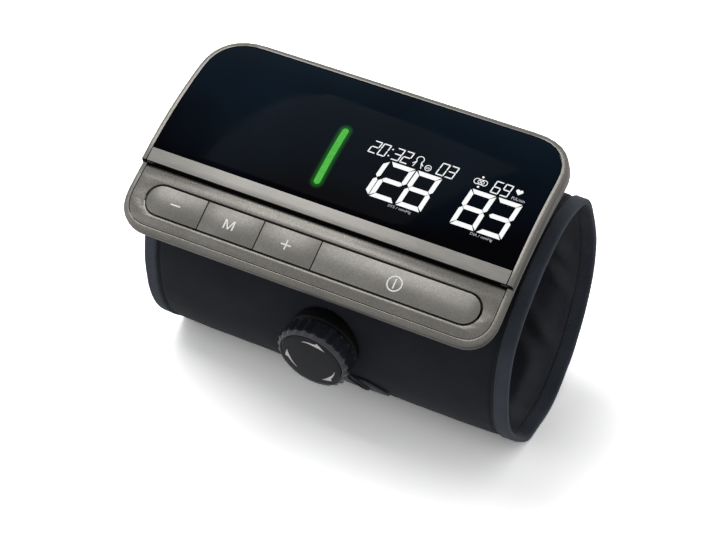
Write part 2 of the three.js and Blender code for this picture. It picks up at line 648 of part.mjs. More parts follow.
const pumpMotor = () =>
  rod(PUMP_X, PUMP_V[0], PUMP_V[1] - PUMP_HEAD[1] - GAP, -PUMP_DOWN, PUMP_DIAMETER / 2, 24);

function pumpHead() {
  const front = PUMP_V[1] - PUMP_HEAD[1];
  const floor = -FLOOR_TOP + GAP;
  const body = block(span(PUMP_X, PUMP_HEAD[0]), [front, PUMP_V[1]], [floor, floor + PUMP_HEAD[2]]);
  return join(body, rod(PUMP_X, PUMP_V[1] - 1, MANIFOLD_V[0] - GAP, -MANIFOLD_MIDDLE, NOZZLE_DIAMETER / 2));
}

const MANIFOLD_MIDDLE = (MANIFOLD_DEPTHS[0] + MANIFOLD_DEPTHS[1]) / 2;

function exhaustValve() {
  const floor = -FLOOR_TOP + 2 * GAP;
  const body = block(span(VALVE_X, VALVE_SIZE), VALVE_V, [floor, floor + VALVE_SIZE]);
  return join(body, rod(VALVE_X, VALVE_V[1] - 1, MANIFOLD_V[0] - GAP, -MANIFOLD_MIDDLE, NOZZLE_DIAMETER / 2));
}

function airManifold() {
  const body = block(MANIFOLD_X, MANIFOLD_V, MANIFOLD_DEPTHS.map((depth) => -depth));
  return cut(body, post(PORT_X, PORT_V, PORT_BORE / 2, -MANIFOLD_DEPTHS[0] - 1, -MANIFOLD_MIDDLE));
}

function sensorTube() {
  const from = MANIFOLD_X[1] + GAP;
  const to = SENSOR_X - SENSOR_SIZE[0] / 2 - GAP;
  return new THREE.CylinderGeometry(NOZZLE_DIAMETER / 2, NOZZLE_DIAMETER / 2, to - from, 16)
    .rotateZ(Math.PI / 2)
    .translate((from + to) / 2, PORT_V, -BOARD_BOTTOM - GAP - NOZZLE_DIAMETER / 2);
}

const pressureSensor = () =>
  block(
    span(SENSOR_X, SENSOR_SIZE[0]),
    span(PORT_V, SENSOR_SIZE[1]),
    [-BOARD_BOTTOM - GAP - SENSOR_SIZE[2], -BOARD_BOTTOM - GAP],
  );

// Screws: head below, shank up into the piece they hold

function screw(x, v, headFrom, headTo, tip, diameter, headDiameter) {
  const way = Math.sign(tip - headTo);
  const head = post(x, v, headDiameter / 2, Math.min(headFrom, headTo), Math.max(headFrom, headTo));
  const root = headTo - way * 0.2;
  const shank = post(x, v, diameter / 2, Math.min(root, tip), Math.max(root, tip), 12);
  const slot = post(x, v, headDiameter / 5, headFrom - 0.7, headFrom + 0.7, 6);
  return cut(join(head, shank), slot);
}

const caseScrew = (index) => {
  const seat = -SCREW_SEAT - GAP;
  const tip = -LUG_TOPS[index] - LUG_ROOF - GAP;
  const [x, v] = SCREW_PLACES[index];
  return screw(x, v, seat - SCREW_HEAD_HEIGHT, seat, tip, SCREW_DIAMETER, SCREW_HEAD_DIAMETER);
};

const boardScrew = (index) => {
  const seat = -BOARD_TOP + GAP;
  const [x, v] = BOARD_SCREWS[index];
  return screw(x, v, seat + 1, seat, -BOARD_SCREW_END, BOARD_SCREW_DIAMETER, BOARD_SCREW_HEAD);
};

const saddleScrew = (index) => {
  const seat = -FLOOR_TOP + GAP;
  const head = seat + SCREW_HEAD_HEIGHT;
  const [x, v] = SADDLE_SCREWS[index];
  return screw(x, v, head, seat, -SADDLE_SCREW_END, SCREW_DIAMETER, SCREW_HEAD_DIAMETER);
};

// Cuff: one closed section, offset inwards layer by layer, never below the floor

const cuffCurve = new THREE.CatmullRomCurve3(
  CUFF_POINTS.map(([y, z]) => new THREE.Vector3(0, y, z)),
  true,
  "centripetal",
);

// The section as [y, z] between two shares of the way round, moved in by inset.
function cuffLine(inset, from = 0, to = 1, steps = CUFF_STEPS) {
  const closed = to - from === 1;
  const count = closed ? steps : steps + 1;
  return Array.from({ length: count }, (_, i) => {
    const share = THREE.MathUtils.lerp(from, to, i / steps);
    const point = cuffCurve.getPointAt(share % 1);
    const tangent = cuffCurve.getTangentAt(share % 1);
    const y = point.y - tangent.z * inset;
    const z = point.z + tangent.y * inset;
    return [y, Math.max(z, inset)];
  });
}

const cuffLoop = (inset, x) => cuffLine(inset).map(([y, z]) => [x, y, z]);

const LAYER_END = CUFF_WIDTH / 2 - BINDING_WIDTH - GAP;
const STIFFENER_INSET = SLEEVE_THICKNESS + GAP;
const BLADDER_INSET = STIFFENER_INSET + STIFFENER_THICKNESS + GAP;
const LINER_INSET = BLADDER_INSET + BLADDER_THICKNESS + GAP;
const WALL_TOTAL = LINER_INSET + LINER_THICKNESS;

const housingPlace = new THREE.Matrix4()
  .makeTranslation(0, HOUSING_Y, HOUSING_Z)
  .multiply(new THREE.Matrix4().makeRotationX(HOUSING_TILT));

const portDrill = () =>
  post(PORT_X, PORT_V, PORT_DIAMETER / 2 + GAP, -REACH, -CASE_FLOOR).applyMatrix4(housingPlace);

// The padded outer cover: full along the middle, drawn in where the bindings hold it.
function outerSleeve() {
  const half = Array.from({ length: SLEEVE_STATIONS + 1 }, (_, i) =>
    Math.sin(((i / SLEEVE_STATIONS) * Math.PI) / 2),
  );
  const shares = [...half.toReversed().map((share) => -share), ...half.slice(1)];
  const outer = shares.map((share) => cuffLoop(SLEEVE_DRAW * Math.abs(share) ** 8, share * LAYER_END));
  const inner = [1, -1].map((side) => cuffLoop(SLEEVE_THICKNESS, side * LAYER_END));
  return cut(skin([...outer, ...inner], true), portDrill());
}

// An open layer: the section's ring with the split left out.
function splitLayer(inset, thickness) {
  const outer = cuffLine(inset, CUFF_SPLIT[1], CUFF_SPLIT[0] + 1);
  const inner = cuffLine(inset + thickness, CUFF_SPLIT[1], CUFF_SPLIT[0] + 1);
  return alongX([...outer, ...inner.toReversed()], -LAYER_END, LAYER_END);
}

const stiffenerShell = () => cut(splitLayer(STIFFENER_INSET, STIFFENER_THICKNESS), portDrill());

const innerLiner = () =>
  skin(
    [
      cuffLoop(LINER_INSET, -LAYER_END),
      cuffLoop(LINER_INSET, LAYER_END),
      cuffLoop(WALL_TOTAL, LAYER_END),
      cuffLoop(WALL_TOTAL, -LAYER_END),
    ],
    true,
  );

// The soft edge binding: flat inside against the layers, rounded at the mouth of the cuff.
function edgeBinding(side) {
  const outside = SLEEVE_DRAW - BINDING_PROUD;
  const inside = WALL_TOTAL + BINDING_PROUD;
  const middle = (outside + inside) / 2;
  const half = (inside - outside) / 2;
  const root = CUFF_WIDTH / 2 - BINDING_WIDTH;
  const steps = 4;
  const profile = [[root, inside], [root, outside]];
  for (let i = 0; i <= steps; i++) {
    const angle = (i / steps) * Math.PI;
    profile.push([CUFF_WIDTH / 2 - half + half * Math.sin(angle), middle - half * Math.cos(angle)]);
  }
  return skin(profile.map(([x, inset]) => cuffLoop(inset, side * x)), true);
}

// The tapering tab, laid on the sleeve.
function laceTab() {
  const steps = 6;
  const stations = TAB_STATIONS.map(([x, from, to]) => {
    const outer = cuffLine(-GAP - TAB_THICKNESS, from, to, steps);
    const inner = cuffLine(-GAP, from, to, steps);
    return [...outer, ...inner.toReversed()].map(([y, z]) => [x, y, z]);
  });
  return skin(stations);
}

// The loop of lace between the knob's base and its eye on the tab.
function tensionLace() {
  const height = 2 * GAP + TAB_THICKNESS + LACE_DIAMETER / 2;
  const points = LACE_POINTS.map(([x, share]) => {
    const [[y, z]] = cuffLine(-height, share, share + 0.01, 1);
    return new THREE.Vector3(x, y, z);
  });
  const sides = 8;
  const section = Array.from({ length: sides }, (_, i) => {
    const angle = (i / sides) * 2 * Math.PI;
    return [(LACE_DIAMETER / 2) * Math.cos(angle), (LACE_DIAMETER / 2) * Math.sin(angle)];
  });
  const extrudePath = new THREE.CatmullRomCurve3(points);
  return new THREE.ExtrudeGeometry(shapeOf(section), { steps: 28, extrudePath });
}

// Saddle: flat under the case, hollowed to the cuff below.
function cuffSaddle() {
  const top = -CASE_FLOOR - GAP;
  const loopAt = (grown, w) =>
    roundedRectangle(
      [-SADDLE_X - grown, SADDLE_X + grown],
      [SADDLE_V[0] - grown, SADDLE_V[1] + grown],
      SADDLE_CORNER + grown,
    ).map(([x, v]) => [x, v, w]);
  const body = skin([loopAt(-SADDLE_FLARE, top - SADDLE_DEPTH), loopAt(0, top)]);
  const holes = SADDLE_SCREWS.map(([x, v]) =>
    post(x, v, SCREW_DIAMETER / 2 + GAP, -SADDLE_SCREW_END - GAP, top + 1).applyMatrix4(housingPlace),
  );
  const cuff = alongX(cuffLine(-GAP), -CUFF_WIDTH, CUFF_WIDTH);
  return cut(body.applyMatrix4(housingPlace), cuff, portDrill(), ...holes);
}

// The tube from the manifold down through case, saddle and sleeve to the bladder.
function airPort() {
  const top = -MANIFOLD_DEPTHS[0] - GAP;
  const tube = post(PORT_X, PORT_V, PORT_DIAMETER / 2, -REACH, top);
  const bore = post(PORT_X, PORT_V, PORT_BORE / 2, -REACH - 1, top + 1);
  const bladder = alongX(cuffLine(BLADDER_INSET - GAP), -CUFF_WIDTH, CUFF_WIDTH);
  return cut(cut(tube, bore).applyMatrix4(housingPlace), bladder);
}

// Tightening knob: Z points out of the cuff from the sleeve's surface

const knobPlace = new THREE.Matrix4()
  .makeTranslation(KNOB_X, knobSeatY(), KNOB_Z)
  .multiply(new THREE.Matrix4().makeRotationX(Math.PI / 2 + KNOB_DROOP));
const KNOB_BOTTOM = KNOB_BASE_HEIGHT + GAP;
const KNOB_TOP = KNOB_BOTTOM + KNOB_HEIGHT;
const CAP_SEAT = KNOB_TOP - KNOB_CAP_THICKNESS;
const SPINDLE_TOP = CAP_SEAT - KNOB_SCREW_POCKET - 2 * GAP;

// Where the front of the sleeve lies at the knob's height.
function knobSeatY() {
  const front = cuffLine(0, 0.25, 0.75, 200);
  const away = ([, z]) => Math.abs(z - KNOB_Z);
  return front.reduce((best, point) => (away(point) < away(best) ? point : best))[0];
}

const round = (profile, sides = 48) =>
  new THREE.LatheGeometry(profile.map(([r, z]) => new THREE.Vector2(r, z)), sides).rotateX(Math.PI / 2);

function knobBase() {
  const rim = KNOB_BASE_RADIUS - 0.8;
  const disc = round([
    [0, -KNOB_BASE_ROOT],
    [KNOB_BASE_RADIUS, -KNOB_BASE_ROOT],
    [KNOB_BASE_RADIUS, KNOB_BASE_HEIGHT - 1],
    [rim, KNOB_BASE_HEIGHT],
    [0, KNOB_BASE_HEIGHT],
  ]);
  const pocket = post(0, 0, SPOOL_RADIUS + GAP, SPOOL_SEAT - GAP, KNOB_BASE_HEIGHT + 1, 32);
  const cuff = alongX(cuffLine(-GAP), -CUFF_WIDTH, CUFF_WIDTH).applyMatrix4(knobPlace.clone().invert());
  return cut(disc, pocket, cuff);
}

// The spool that winds the lace, with a groove round it.
function laceSpool() {
  const top = SPOOL_SEAT + SPOOL_HEIGHT;
  const groove = SPOOL_RADIUS - 1.2;
  const hole = SPINDLE_RADIUS + GAP;
  return round(
    [
      [hole, SPOOL_SEAT],
      [SPOOL_RADIUS, SPOOL_SEAT],
      [SPOOL_RADIUS, SPOOL_SEAT + 0.4],
      [groove, SPOOL_SEAT + 0.6],
      [groove, top - 0.6],
      [SPOOL_RADIUS, top - 0.4],
      [SPOOL_RADIUS, top],
      [hole, top],
      [hole, SPOOL_SEAT],
    ],
    24,
  );
}

// A ring of saw teeth inside, fixed on the base.
function ratchetRing() {
  const [tip, outside] = RATCHET_RADII;
  const root = tip + 0.9;
  const teeth = Array.from({ length: RATCHET_TEETH * 2 }, (_, i) => {
    const angle = ((i + (i % 2) * 0.7) / (RATCHET_TEETH * 2)) * 2 * Math.PI;
    const radius = i % 2 ? root : tip;
    return [radius * Math.cos(angle), radius * Math.sin(angle)];
  });
  const ring = post(0, 0, outside, KNOB_BOTTOM, KNOB_BOTTOM + RATCHET_HEIGHT, 48);
  return cut(ring, upright(teeth, KNOB_BOTTOM - 1, KNOB_BOTTOM + RATCHET_HEIGHT + 1));
}

// A hub with three springy arms that click over the teeth.
function pawlDisc() {
  const from = KNOB_BOTTOM + GAP;
  const to = KNOB_BOTTOM + RATCHET_HEIGHT - GAP;
  const arms = [0, 1, 2].map((i) => {
    const arm = block([0, PAWL_REACH], [2.6, 3.9], [from, to]);
    return arm.rotateZ((i * 2 * Math.PI) / 3);
  });
  const hub = post(0, 0, HUB_RADIUS, from, to, 32);
  return cut(join(hub, ...arms), post(0, 0, SPINDLE_RADIUS + GAP, from - 1, to + 1));
}

// The knob: a hollow cap with a scalloped rim, a rounded shoulder and a hub on the spindle.
function tighteningKnob() {
  const sides = KNOB_RIBS * 4;
  const outline = (radius) =>
    Array.from({ length: sides }, (_, i) => {
      const angle = (i / sides) * 2 * Math.PI;
      const r = radius - (KNOB_RIB_DEPTH * (1 - Math.cos(angle * KNOB_RIBS))) / 2;
      return [r * Math.cos(angle), r * Math.sin(angle)];
    });
  const plain = (radius) =>
    outline(radius).map(([a, b]) => {
      const scale = (radius - KNOB_RIB_DEPTH / 2) / Math.hypot(a, b);
      return [a * scale, b * scale];
    });
  const ringAt = (points, z) => points.map(([a, b]) => [a, b, z]);
  const body = skin([
    ringAt(outline(KNOB_RADIUS - 0.4), KNOB_BOTTOM),
    ringAt(outline(KNOB_RADIUS), KNOB_BOTTOM + 0.6),
    ringAt(outline(KNOB_RADIUS), KNOB_TOP - KNOB_SHOULDER),
    ringAt(plain(KNOB_RADIUS - KNOB_SHOULDER * 0.3), KNOB_TOP - KNOB_SHOULDER * 0.3),
    ringAt(plain(KNOB_RADIUS - KNOB_SHOULDER), KNOB_TOP),
  ]);
  const roof = CAP_SEAT - GAP - KNOB_ROOF;
  const hollow = post(0, 0, KNOB_RADIUS - KNOB_WALL, KNOB_BOTTOM - 1, roof, 40);
  const hub = post(0, 0, HUB_RADIUS, KNOB_BOTTOM + RATCHET_HEIGHT, roof + 0.5, 32);
  const recess = post(0, 0, KNOB_CAP_RADIUS + GAP, CAP_SEAT - GAP, KNOB_TOP + 1, 48);
  const bore = post(0, 0, SPINDLE_RADIUS + GAP, KNOB_BOTTOM - 1, KNOB_TOP);
  const pocket = post(0, 0, KNOB_SCREW_HEAD_RADIUS + GAP, CAP_SEAT - GAP - KNOB_SCREW_POCKET, KNOB_TOP, 24);
  return cut(join(cut(body, hollow), hub), recess, bore, pocket);
}

// The cap over the screw, a little crowned.
function knobCap() {
  const rim = CAP_SEAT + KNOB_CAP_THICKNESS - 0.2;
  return round([
    [0, CAP_SEAT],
    [KNOB_CAP_RADIUS, CAP_SEAT],
    [KNOB_CAP_RADIUS, rim],
    [KNOB_CAP_RADIUS * 0.8, rim + KNOB_CAP_CROWN * 0.45],
    [KNOB_CAP_RADIUS * 0.45, rim + KNOB_CAP_CROWN * 0.85],
    [0, rim + KNOB_CAP_CROWN],
  ]);
}

function knobSpindle() {
  const stem = post(0, 0, SPINDLE_RADIUS, SPOOL_SEAT, SPINDLE_TOP, 24);
  return cut(stem, post(0, 0, SCREW_DIAMETER / 2 + 0.1, SPOOL_SEAT + 2, SPINDLE_TOP + 1, 12));
}

function knobScrew() {
  const seat = CAP_SEAT - KNOB_SCREW_POCKET;
  const head = post(0, 0, KNOB_SCREW_HEAD_RADIUS, seat, seat + 1, 24);
  const shank = post(0, 0, SCREW_DIAMETER / 2 - GAP, SPOOL_SEAT + 3, seat + 0.2, 12);
  return cut(join(head, shank), post(0, 0, 0.9, seat + 0.4, seat + 2, 6));
}

// Assembly

const housing = new THREE.Group();
housing.applyMatrix4(housingPlace);
housing.add(
  named("bezel_frame", bezelFrame(), taupeMetal()),
  named("lower_case", lowerCase(), taupeMetal()),
  named("display_window", displayWindow(), look(0x05080d, 0.06)),
  named("front_strip", frontStrip(), look(0x9a938a, 0.3, 0.9)),
  named("key_panel", keyPanel(), taupeMetal()),
  named("main_board", mainBoard(), greenBoard()),
  named("display_module", displayModule(), look(0x101418, 0.4)),
  named("status_light_guide", lightGuide(), look(0xe6ece8, 0.2)),
  named("battery", battery(), look(0x3a5a86, 0.5)),
  named("charging_socket", chargingSocket(), steel()),
  named("pump_motor", pumpMotor(), steel()),
  named("pump_head", pumpHead(), look(0xd8d4c8, 0.6)),
  named("exhaust_valve", exhaustValve(), look(0x2b2e33, 0.5)),
  named("air_manifold", airManifold(), look(0x4a4d52, 0.7)),
  named("sensor_tube", sensorTube(), look(0xc9c7c0, 0.7)),
  named("pressure_sensor", pressureSensor(), look(0x15171a, 0.5)),
);
SCREW_PLACES.forEach((_, i) => housing.add(named(`case_screw_${i + 1}`, caseScrew(i), steel())));
BOARD_SCREWS.forEach((_, i) => housing.add(named(`board_screw_${i + 1}`, boardScrew(i), steel())));
SADDLE_SCREWS.forEach((_, i) => housing.add(named(`saddle_screw_${i + 1}`, saddleScrew(i), steel())));

const keys = new THREE.Group();
keys.applyMatrix4(keyPlace);
keys.add(
  ...KEY_NAMES.map((name, i) => named(name, keyCap(i), taupeMetal())),
  named("key_mat", keyMat(), look(0x2a2a2c, 0.9)),
  named("key_board", keyBoard(), greenBoard()),
);
housing.add(keys);

const cuff = new THREE.Group();
cuff.add(
  named("outer_sleeve", outerSleeve(), fabric(0x1a1b1f)),
  named("stiffener_shell", stiffenerShell(), look(0x26272a, 0.6)),
  named("air_bladder", splitLayer(BLADDER_INSET, BLADDER_THICKNESS), look(0x3c3a38, 0.7)),
  named("inner_liner", innerLiner(), fabric(0x1d1d22)),
  named("left_binding", edgeBinding(-1), fabric(0x2b303a)),
  named("right_binding", edgeBinding(1), fabric(0x2b303a)),
  named("lace_tab", laceTab(), fabric(0x6c7076)),
  named("tension_lace", tensionLace(), fabric(0x24262b)),
  named("cuff_saddle", cuffSaddle(), darkPlastic()),
  named("air_port", airPort(), look(0x3a3c40, 0.7)),
);

const knob = new THREE.Group();
knob.applyMatrix4(knobPlace);
knob.add(
  named("knob_base", knobBase(), darkPlastic()),
  named("ratchet_ring", ratchetRing(), look(0x8f9296, 0.5)),
  named("lace_spool", laceSpool(), look(0x55585c, 0.5)),
  named("knob_spindle", knobSpindle(), steel()),
  named("pawl_disc", pawlDisc(), look(0xcfcac0, 0.5)),
  named("tightening_knob", tighteningKnob(), look(0x17181b, 0.25)),
  named("knob_screw", knobScrew(), steel()),
  named("knob_cap", knobCap(), look(0x15161a, 0.2)),
);

// The origin lies at the middle of the box round the part, on the surface it stands on.
const assembly = new THREE.Group();
assembly.add(housing, cuff, knob);
assembly.updateMatrixWorld(true);
const bounds = new THREE.Box3().setFromObject(assembly, true);
const middle = bounds.getCenter(new THREE.Vector3());
assembly.position.set(-middle.x, -middle.y, -bounds.min.z);

const part = new THREE.Group();
part.add(assembly);

export default part;
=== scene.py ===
"""Upper-arm blood pressure monitor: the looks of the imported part, in its frame, in metres."""

import json
import math

import bmesh
import bpy
import numpy as np
from mathutils import Matrix, Vector, noise
from mathutils.geometry import tessellate_polygon

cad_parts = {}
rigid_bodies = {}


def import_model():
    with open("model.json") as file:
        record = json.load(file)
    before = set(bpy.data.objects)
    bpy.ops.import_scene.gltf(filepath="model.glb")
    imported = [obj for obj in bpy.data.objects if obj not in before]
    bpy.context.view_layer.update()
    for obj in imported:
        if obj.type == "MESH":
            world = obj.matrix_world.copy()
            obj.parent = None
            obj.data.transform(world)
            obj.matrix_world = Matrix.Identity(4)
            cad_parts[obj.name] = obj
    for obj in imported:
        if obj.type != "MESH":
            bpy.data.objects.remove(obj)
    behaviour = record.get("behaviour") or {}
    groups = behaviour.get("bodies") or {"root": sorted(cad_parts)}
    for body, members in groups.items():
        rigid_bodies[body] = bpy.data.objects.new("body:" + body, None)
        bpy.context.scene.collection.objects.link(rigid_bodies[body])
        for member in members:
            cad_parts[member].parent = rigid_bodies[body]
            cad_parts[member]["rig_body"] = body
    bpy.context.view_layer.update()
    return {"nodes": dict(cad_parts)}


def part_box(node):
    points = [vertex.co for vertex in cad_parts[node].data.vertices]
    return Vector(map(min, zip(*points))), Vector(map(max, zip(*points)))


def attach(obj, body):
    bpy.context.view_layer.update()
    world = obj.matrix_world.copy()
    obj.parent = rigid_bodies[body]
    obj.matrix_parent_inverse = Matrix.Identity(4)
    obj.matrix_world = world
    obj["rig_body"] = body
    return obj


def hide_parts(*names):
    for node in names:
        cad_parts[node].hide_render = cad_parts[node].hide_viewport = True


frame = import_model()
MM = 0.001


# Boards, pump and valves. The electronics are soldered fibreglass boards with a green or black
# lacquer, the pump a steel motor with a moulded head, all screwed or clipped inside the case.
# Only their light shows, but each has the finish of its own material.

def node_kit(tree):
    """Functions that add a node to a tree, give a node its inputs, and add a calculation. An input
    is a value, a socket, or a node for its first output, and _3 names the input with number 3."""

    def give(node, **inputs):
        for key, value in inputs.items():
            place = int(key[1:]) if key[0] == "_" else key.replace("_", " ")
            if isinstance(value, bpy.types.Node):
                value = value.outputs[0]
            if isinstance(value, bpy.types.NodeSocket):
                tree.links.new(value, node.inputs[place])
            else:
                node.inputs[place].default_value = value
        return node

    def add(kind, settings=None, **inputs):
        node = tree.nodes.new(kind if "Node" in kind else "ShaderNode" + kind)
        for key, value in (settings or {}).items():
            setattr(node, key, value)
        return give(node, **inputs)

    def calc(operation, *values):
        return add("Math", {"operation": operation}, **{f"_{i}": value for i, value in enumerate(values)})

    return add, give, calc


def blank_material(name):
    """A material, its shader, and the functions that work on its nodes."""
    material = bpy.data.materials.new(name)
    material.use_nodes = True
    return material, material.node_tree.nodes["Principled BSDF"], *node_kit(material.node_tree)


def srgb(r, g, b):
    """A colour as it is seen on screen, 0 to 255, as the shader wants it."""
    seen = (c / 255 for c in (r, g, b))
    return tuple(((c + 0.055) / 1.055) ** 2.4 if c > 0.04045 else c / 12.92 for c in seen) + (1.0,)


def ramp(add, factor, dark, light, start=0.0, end=1.0):
    """From dark to light as the factor goes from start to end."""
    node = add("ValToRGB", Fac=factor)
    low, high = node.color_ramp.elements
    low.position, low.color = start, dark
    high.position, high.color = end, light
    return node


def edge_mask(add, radius_mm, start, most):
    """A mask up to most where the surface turns within a radius: for edges that hands rub and for painted
    edge highlights.
    """
    edge = add("Bevel", {"samples": 4}, Radius=radius_mm * MM)
    true = add("NewGeometry").outputs["Normal"]
    turn = add("VectorMath", {"operation": "DOT_PRODUCT"}, _0=edge, _1=true).outputs["Value"]
    return add("MapRange", Value=turn, From_Min=start, From_Max=0.86, To_Min=0.0, To_Max=most)


def grained(name, light, dark, rough, grain_mm, metal=0.0, bump=0.1, stretch=(1, 1, 1), patch_mm=9.0,
            specular=0.5, coat=0.0, wear_and_highlight=None, edge_band_mm=0.35, sheen=0.0):
    """Moulded, cast or coated stuff: a fine grain and wide soft patches between two colours, with
    the roughness and the bump from the same grain, and edges in another colour, which stands for
    wear and for a painted highlight."""
    material, shader, add, give, calc = blank_material(name)
    place = add("TexCoord").outputs["Object"]
    run = add("Mapping", Vector=place, Scale=stretch)
    fine = add("TexNoise", Vector=run, Scale=1 / (grain_mm * MM), Detail=3.0, Roughness=0.6)
    wide = add("TexNoise", Vector=place, Scale=1 / (patch_mm * MM), Detail=2.0)
    both = calc("MULTIPLY_ADD", fine, 0.6, calc("MULTIPLY", wide, 0.4))
    colour = ramp(add, both, dark, light, 0.36, 0.64)
    # Edges in another colour: wear, and a painted highlight.
    if wear_and_highlight:
        patchy = calc("MULTIPLY", edge_mask(add, edge_band_mm, 0.995, 0.7), fine)
        colour = add("Mix", {"data_type": "RGBA"}, _0=patchy, _6=colour, _7=wear_and_highlight).outputs[2]
    shine = add("MapRange", Value=fine, From_Min=0.3, From_Max=0.7, To_Min=max(rough - 0.08, 0.02),
                To_Max=min(rough + 0.08, 1.0))
    relief = add("Bump", Height=fine, Strength=bump, Distance=grain_mm * MM * 0.5)
    give(shader, Base_Color=colour, Roughness=shine, Normal=relief, Metallic=metal, Coat_Weight=coat,
         Specular_IOR_Level=specular, Sheen_Weight=sheen)
    return material


def dress(material, *names):
    """Gives carried-over CAD nodes their material."""
    for name in names:
        node = frame["nodes"][name]
        node.data.materials.clear()
        node.data.materials.append(material)


def circuit_lacquer():
    """Green solder lacquer with straight copper tracks under it and small pale pads."""
    material, shader, add, give, calc = blank_material("circuit_lacquer")
    place = add("TexCoord").outputs["Object"]
    tracks = add("TexBrick", {"offset": 0.3, "squash": 1.6, "squash_frequency": 3}, Vector=place,
                 Scale=1 / (9 * MM), Mortar_Size=0.012, Color1=srgb(22, 78, 50), Color2=srgb(28, 92, 58),
                 Mortar=srgb(70, 140, 84))
    pads = add("TexVoronoi", {"feature": "F1"}, Vector=place, Scale=1 / (4.5 * MM))
    spot = calc("LESS_THAN", pads, 0.14)
    mix = add("Mix", {"data_type": "RGBA"}, _0=spot, _6=tracks, _7=srgb(205, 196, 160))
    relief = add("Bump", Height=tracks.outputs["Fac"], Strength=0.25, Distance=0.05 * MM)
    give(shader, Base_Color=mix.outputs[2], Normal=relief, Roughness=0.38)
    return material


plated_steel = grained("plated_steel", srgb(196, 198, 202), srgb(150, 152, 158), 0.28, 0.2, metal=1.0,
                       stretch=(1, 1, 6), wear_and_highlight=srgb(228, 228, 230))
grey_moulding = grained("grey_moulding", srgb(198, 198, 194), srgb(176, 176, 172), 0.5, 0.3)
silicone = grained("silicone", srgb(58, 58, 60), srgb(44, 44, 47), 0.72, 0.25, sheen=0.1)
display_back = grained("display_back", srgb(30, 32, 36), srgb(20, 22, 26), 0.35, 0.4, coat=0.3)
battery_film = grained("battery_film", srgb(118, 124, 132), srgb(96, 102, 112), 0.34, 1.2, metal=0.6,
                       bump=0.25)
light_acrylic = grained("light_acrylic", srgb(168, 226, 172), srgb(140, 206, 148), 0.25, 0.6, coat=0.4)
dress(circuit_lacquer(), "main_board", "key_board")
dress(display_back, "display_module")
dress(battery_film, "battery")
dress(light_acrylic, "status_light_guide")
dress(plated_steel, "pump_motor", "exhaust_valve", "charging_socket", "board_screw_1", "board_screw_2",
      "case_screw_1", "case_screw_2", "case_screw_3", "case_screw_4", "saddle_screw_1", "saddle_screw_2",
      "knob_screw", "knob_spindle")
dress(grey_moulding, "pump_head", "air_manifold", "pressure_sensor")
dress(silicone, "sensor_tube", "key_mat", "air_port")


# Lower case: a deep black tub, injection moulded in ABS with a fine spark-eroded grain, that
# hangs under the frame on four screws. Its corners are rounded where the mould parts.

def placed(name, data):
    """A new object at the origin, in the scene."""
    piece = bpy.data.objects.new(name, data)
    bpy.context.scene.collection.objects.link(piece)
    return piece


def plain_mesh(piece):
    """A mesh of its own with the piece's modifiers worked in."""
    return bpy.data.meshes.new_from_object(piece.evaluated_get(bpy.context.evaluated_depsgraph_get()))


def stand_in(piece, node):
    """Puts a piece in a CAD node's place, on the node's own body."""
    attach(piece, frame["nodes"][node]["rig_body"])
    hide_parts(node)
    return piece


def tidy_copy(node, name, material, round_mm=0.0, crease=32):
    """A finished copy of a CAD node: doubles merged, slivers dissolved, small round edges and
    smooth shading."""
    mesh = frame["nodes"][node].data.copy()
    mesh.name = name
    work = bmesh.new()
    work.from_mesh(mesh)
    bmesh.ops.remove_doubles(work, verts=work.verts, dist=2e-6)
    bmesh.ops.dissolve_degenerate(work, edges=work.edges, dist=2e-6)
    bmesh.ops.dissolve_limit(work, angle_limit=math.radians(0.6), verts=work.verts, edges=work.edges)
    work.to_mesh(mesh)
    work.free()
    piece = placed(name, mesh)
    mesh.materials.clear()
    mesh.materials.append(material)
    if round_mm:
        edge = piece.modifiers.new("round_edges", "BEVEL")
        edge.width = round_mm * MM
        edge.segments = 2
        edge.limit_method = "ANGLE"
        edge.angle_limit = math.radians(crease)
        edge.miter_outer = "MITER_SHARP"
        edge.harden_normals = False
        edge.use_clamp_overlap = True
        plain = plain_mesh(piece)
        piece.modifiers.clear()
        piece.data = plain
        plain.name = name
    piece.data.set_sharp_from_angle(angle=math.radians(crease))
    for polygon in piece.data.polygons:
        polygon.use_smooth = True
    return stand_in(piece, node)


black_case = grained("black_case", srgb(34, 34, 37), srgb(24, 24, 27), 0.52, 0.35, bump=0.22,
                     wear_and_highlight=srgb(64, 64, 68))
tidy_copy("lower_case", "case_tub", black_case, 0.25)
tidy_copy("cuff_saddle", "saddle_block", black_case, 0.3)


# Housing frame: the bevelled rim round the glass and the keys, moulded and sprayed with a warm
# grey metallic lacquer. Its outer wall has painted shade, a darker copy of the lacquer, and its
# inner walls and the step where the plates are let into it are painted black as shadow.

HOUSING_TILT = 0.4
HOUSING_PLACE = (-11.3348, 103.3)
STEP_V = -18.55


def accent(piece, material, chosen):
    """Another material for the faces that a test picks by direction and place, both in the housing's
    own frame: X across it, V up its slope and W out of it, in millimetres. Most such materials
    are painted shade, a painted highlight or black painted as shadow."""
    piece.data.materials.append(material)
    cos, sin = math.cos(HOUSING_TILT), math.sin(HOUSING_TILT)
    for polygon in piece.data.polygons:
        n = polygon.normal
        x, y, z = polygon.center / MM
        y, z = y - HOUSING_PLACE[0], z - HOUSING_PLACE[1]
        facing = (n.x, n.y * cos + n.z * sin, n.z * cos - n.y * sin)
        if chosen(facing, (x, y * cos + z * sin, z * cos - y * sin)):
            polygon.material_index = len(piece.data.materials) - 1


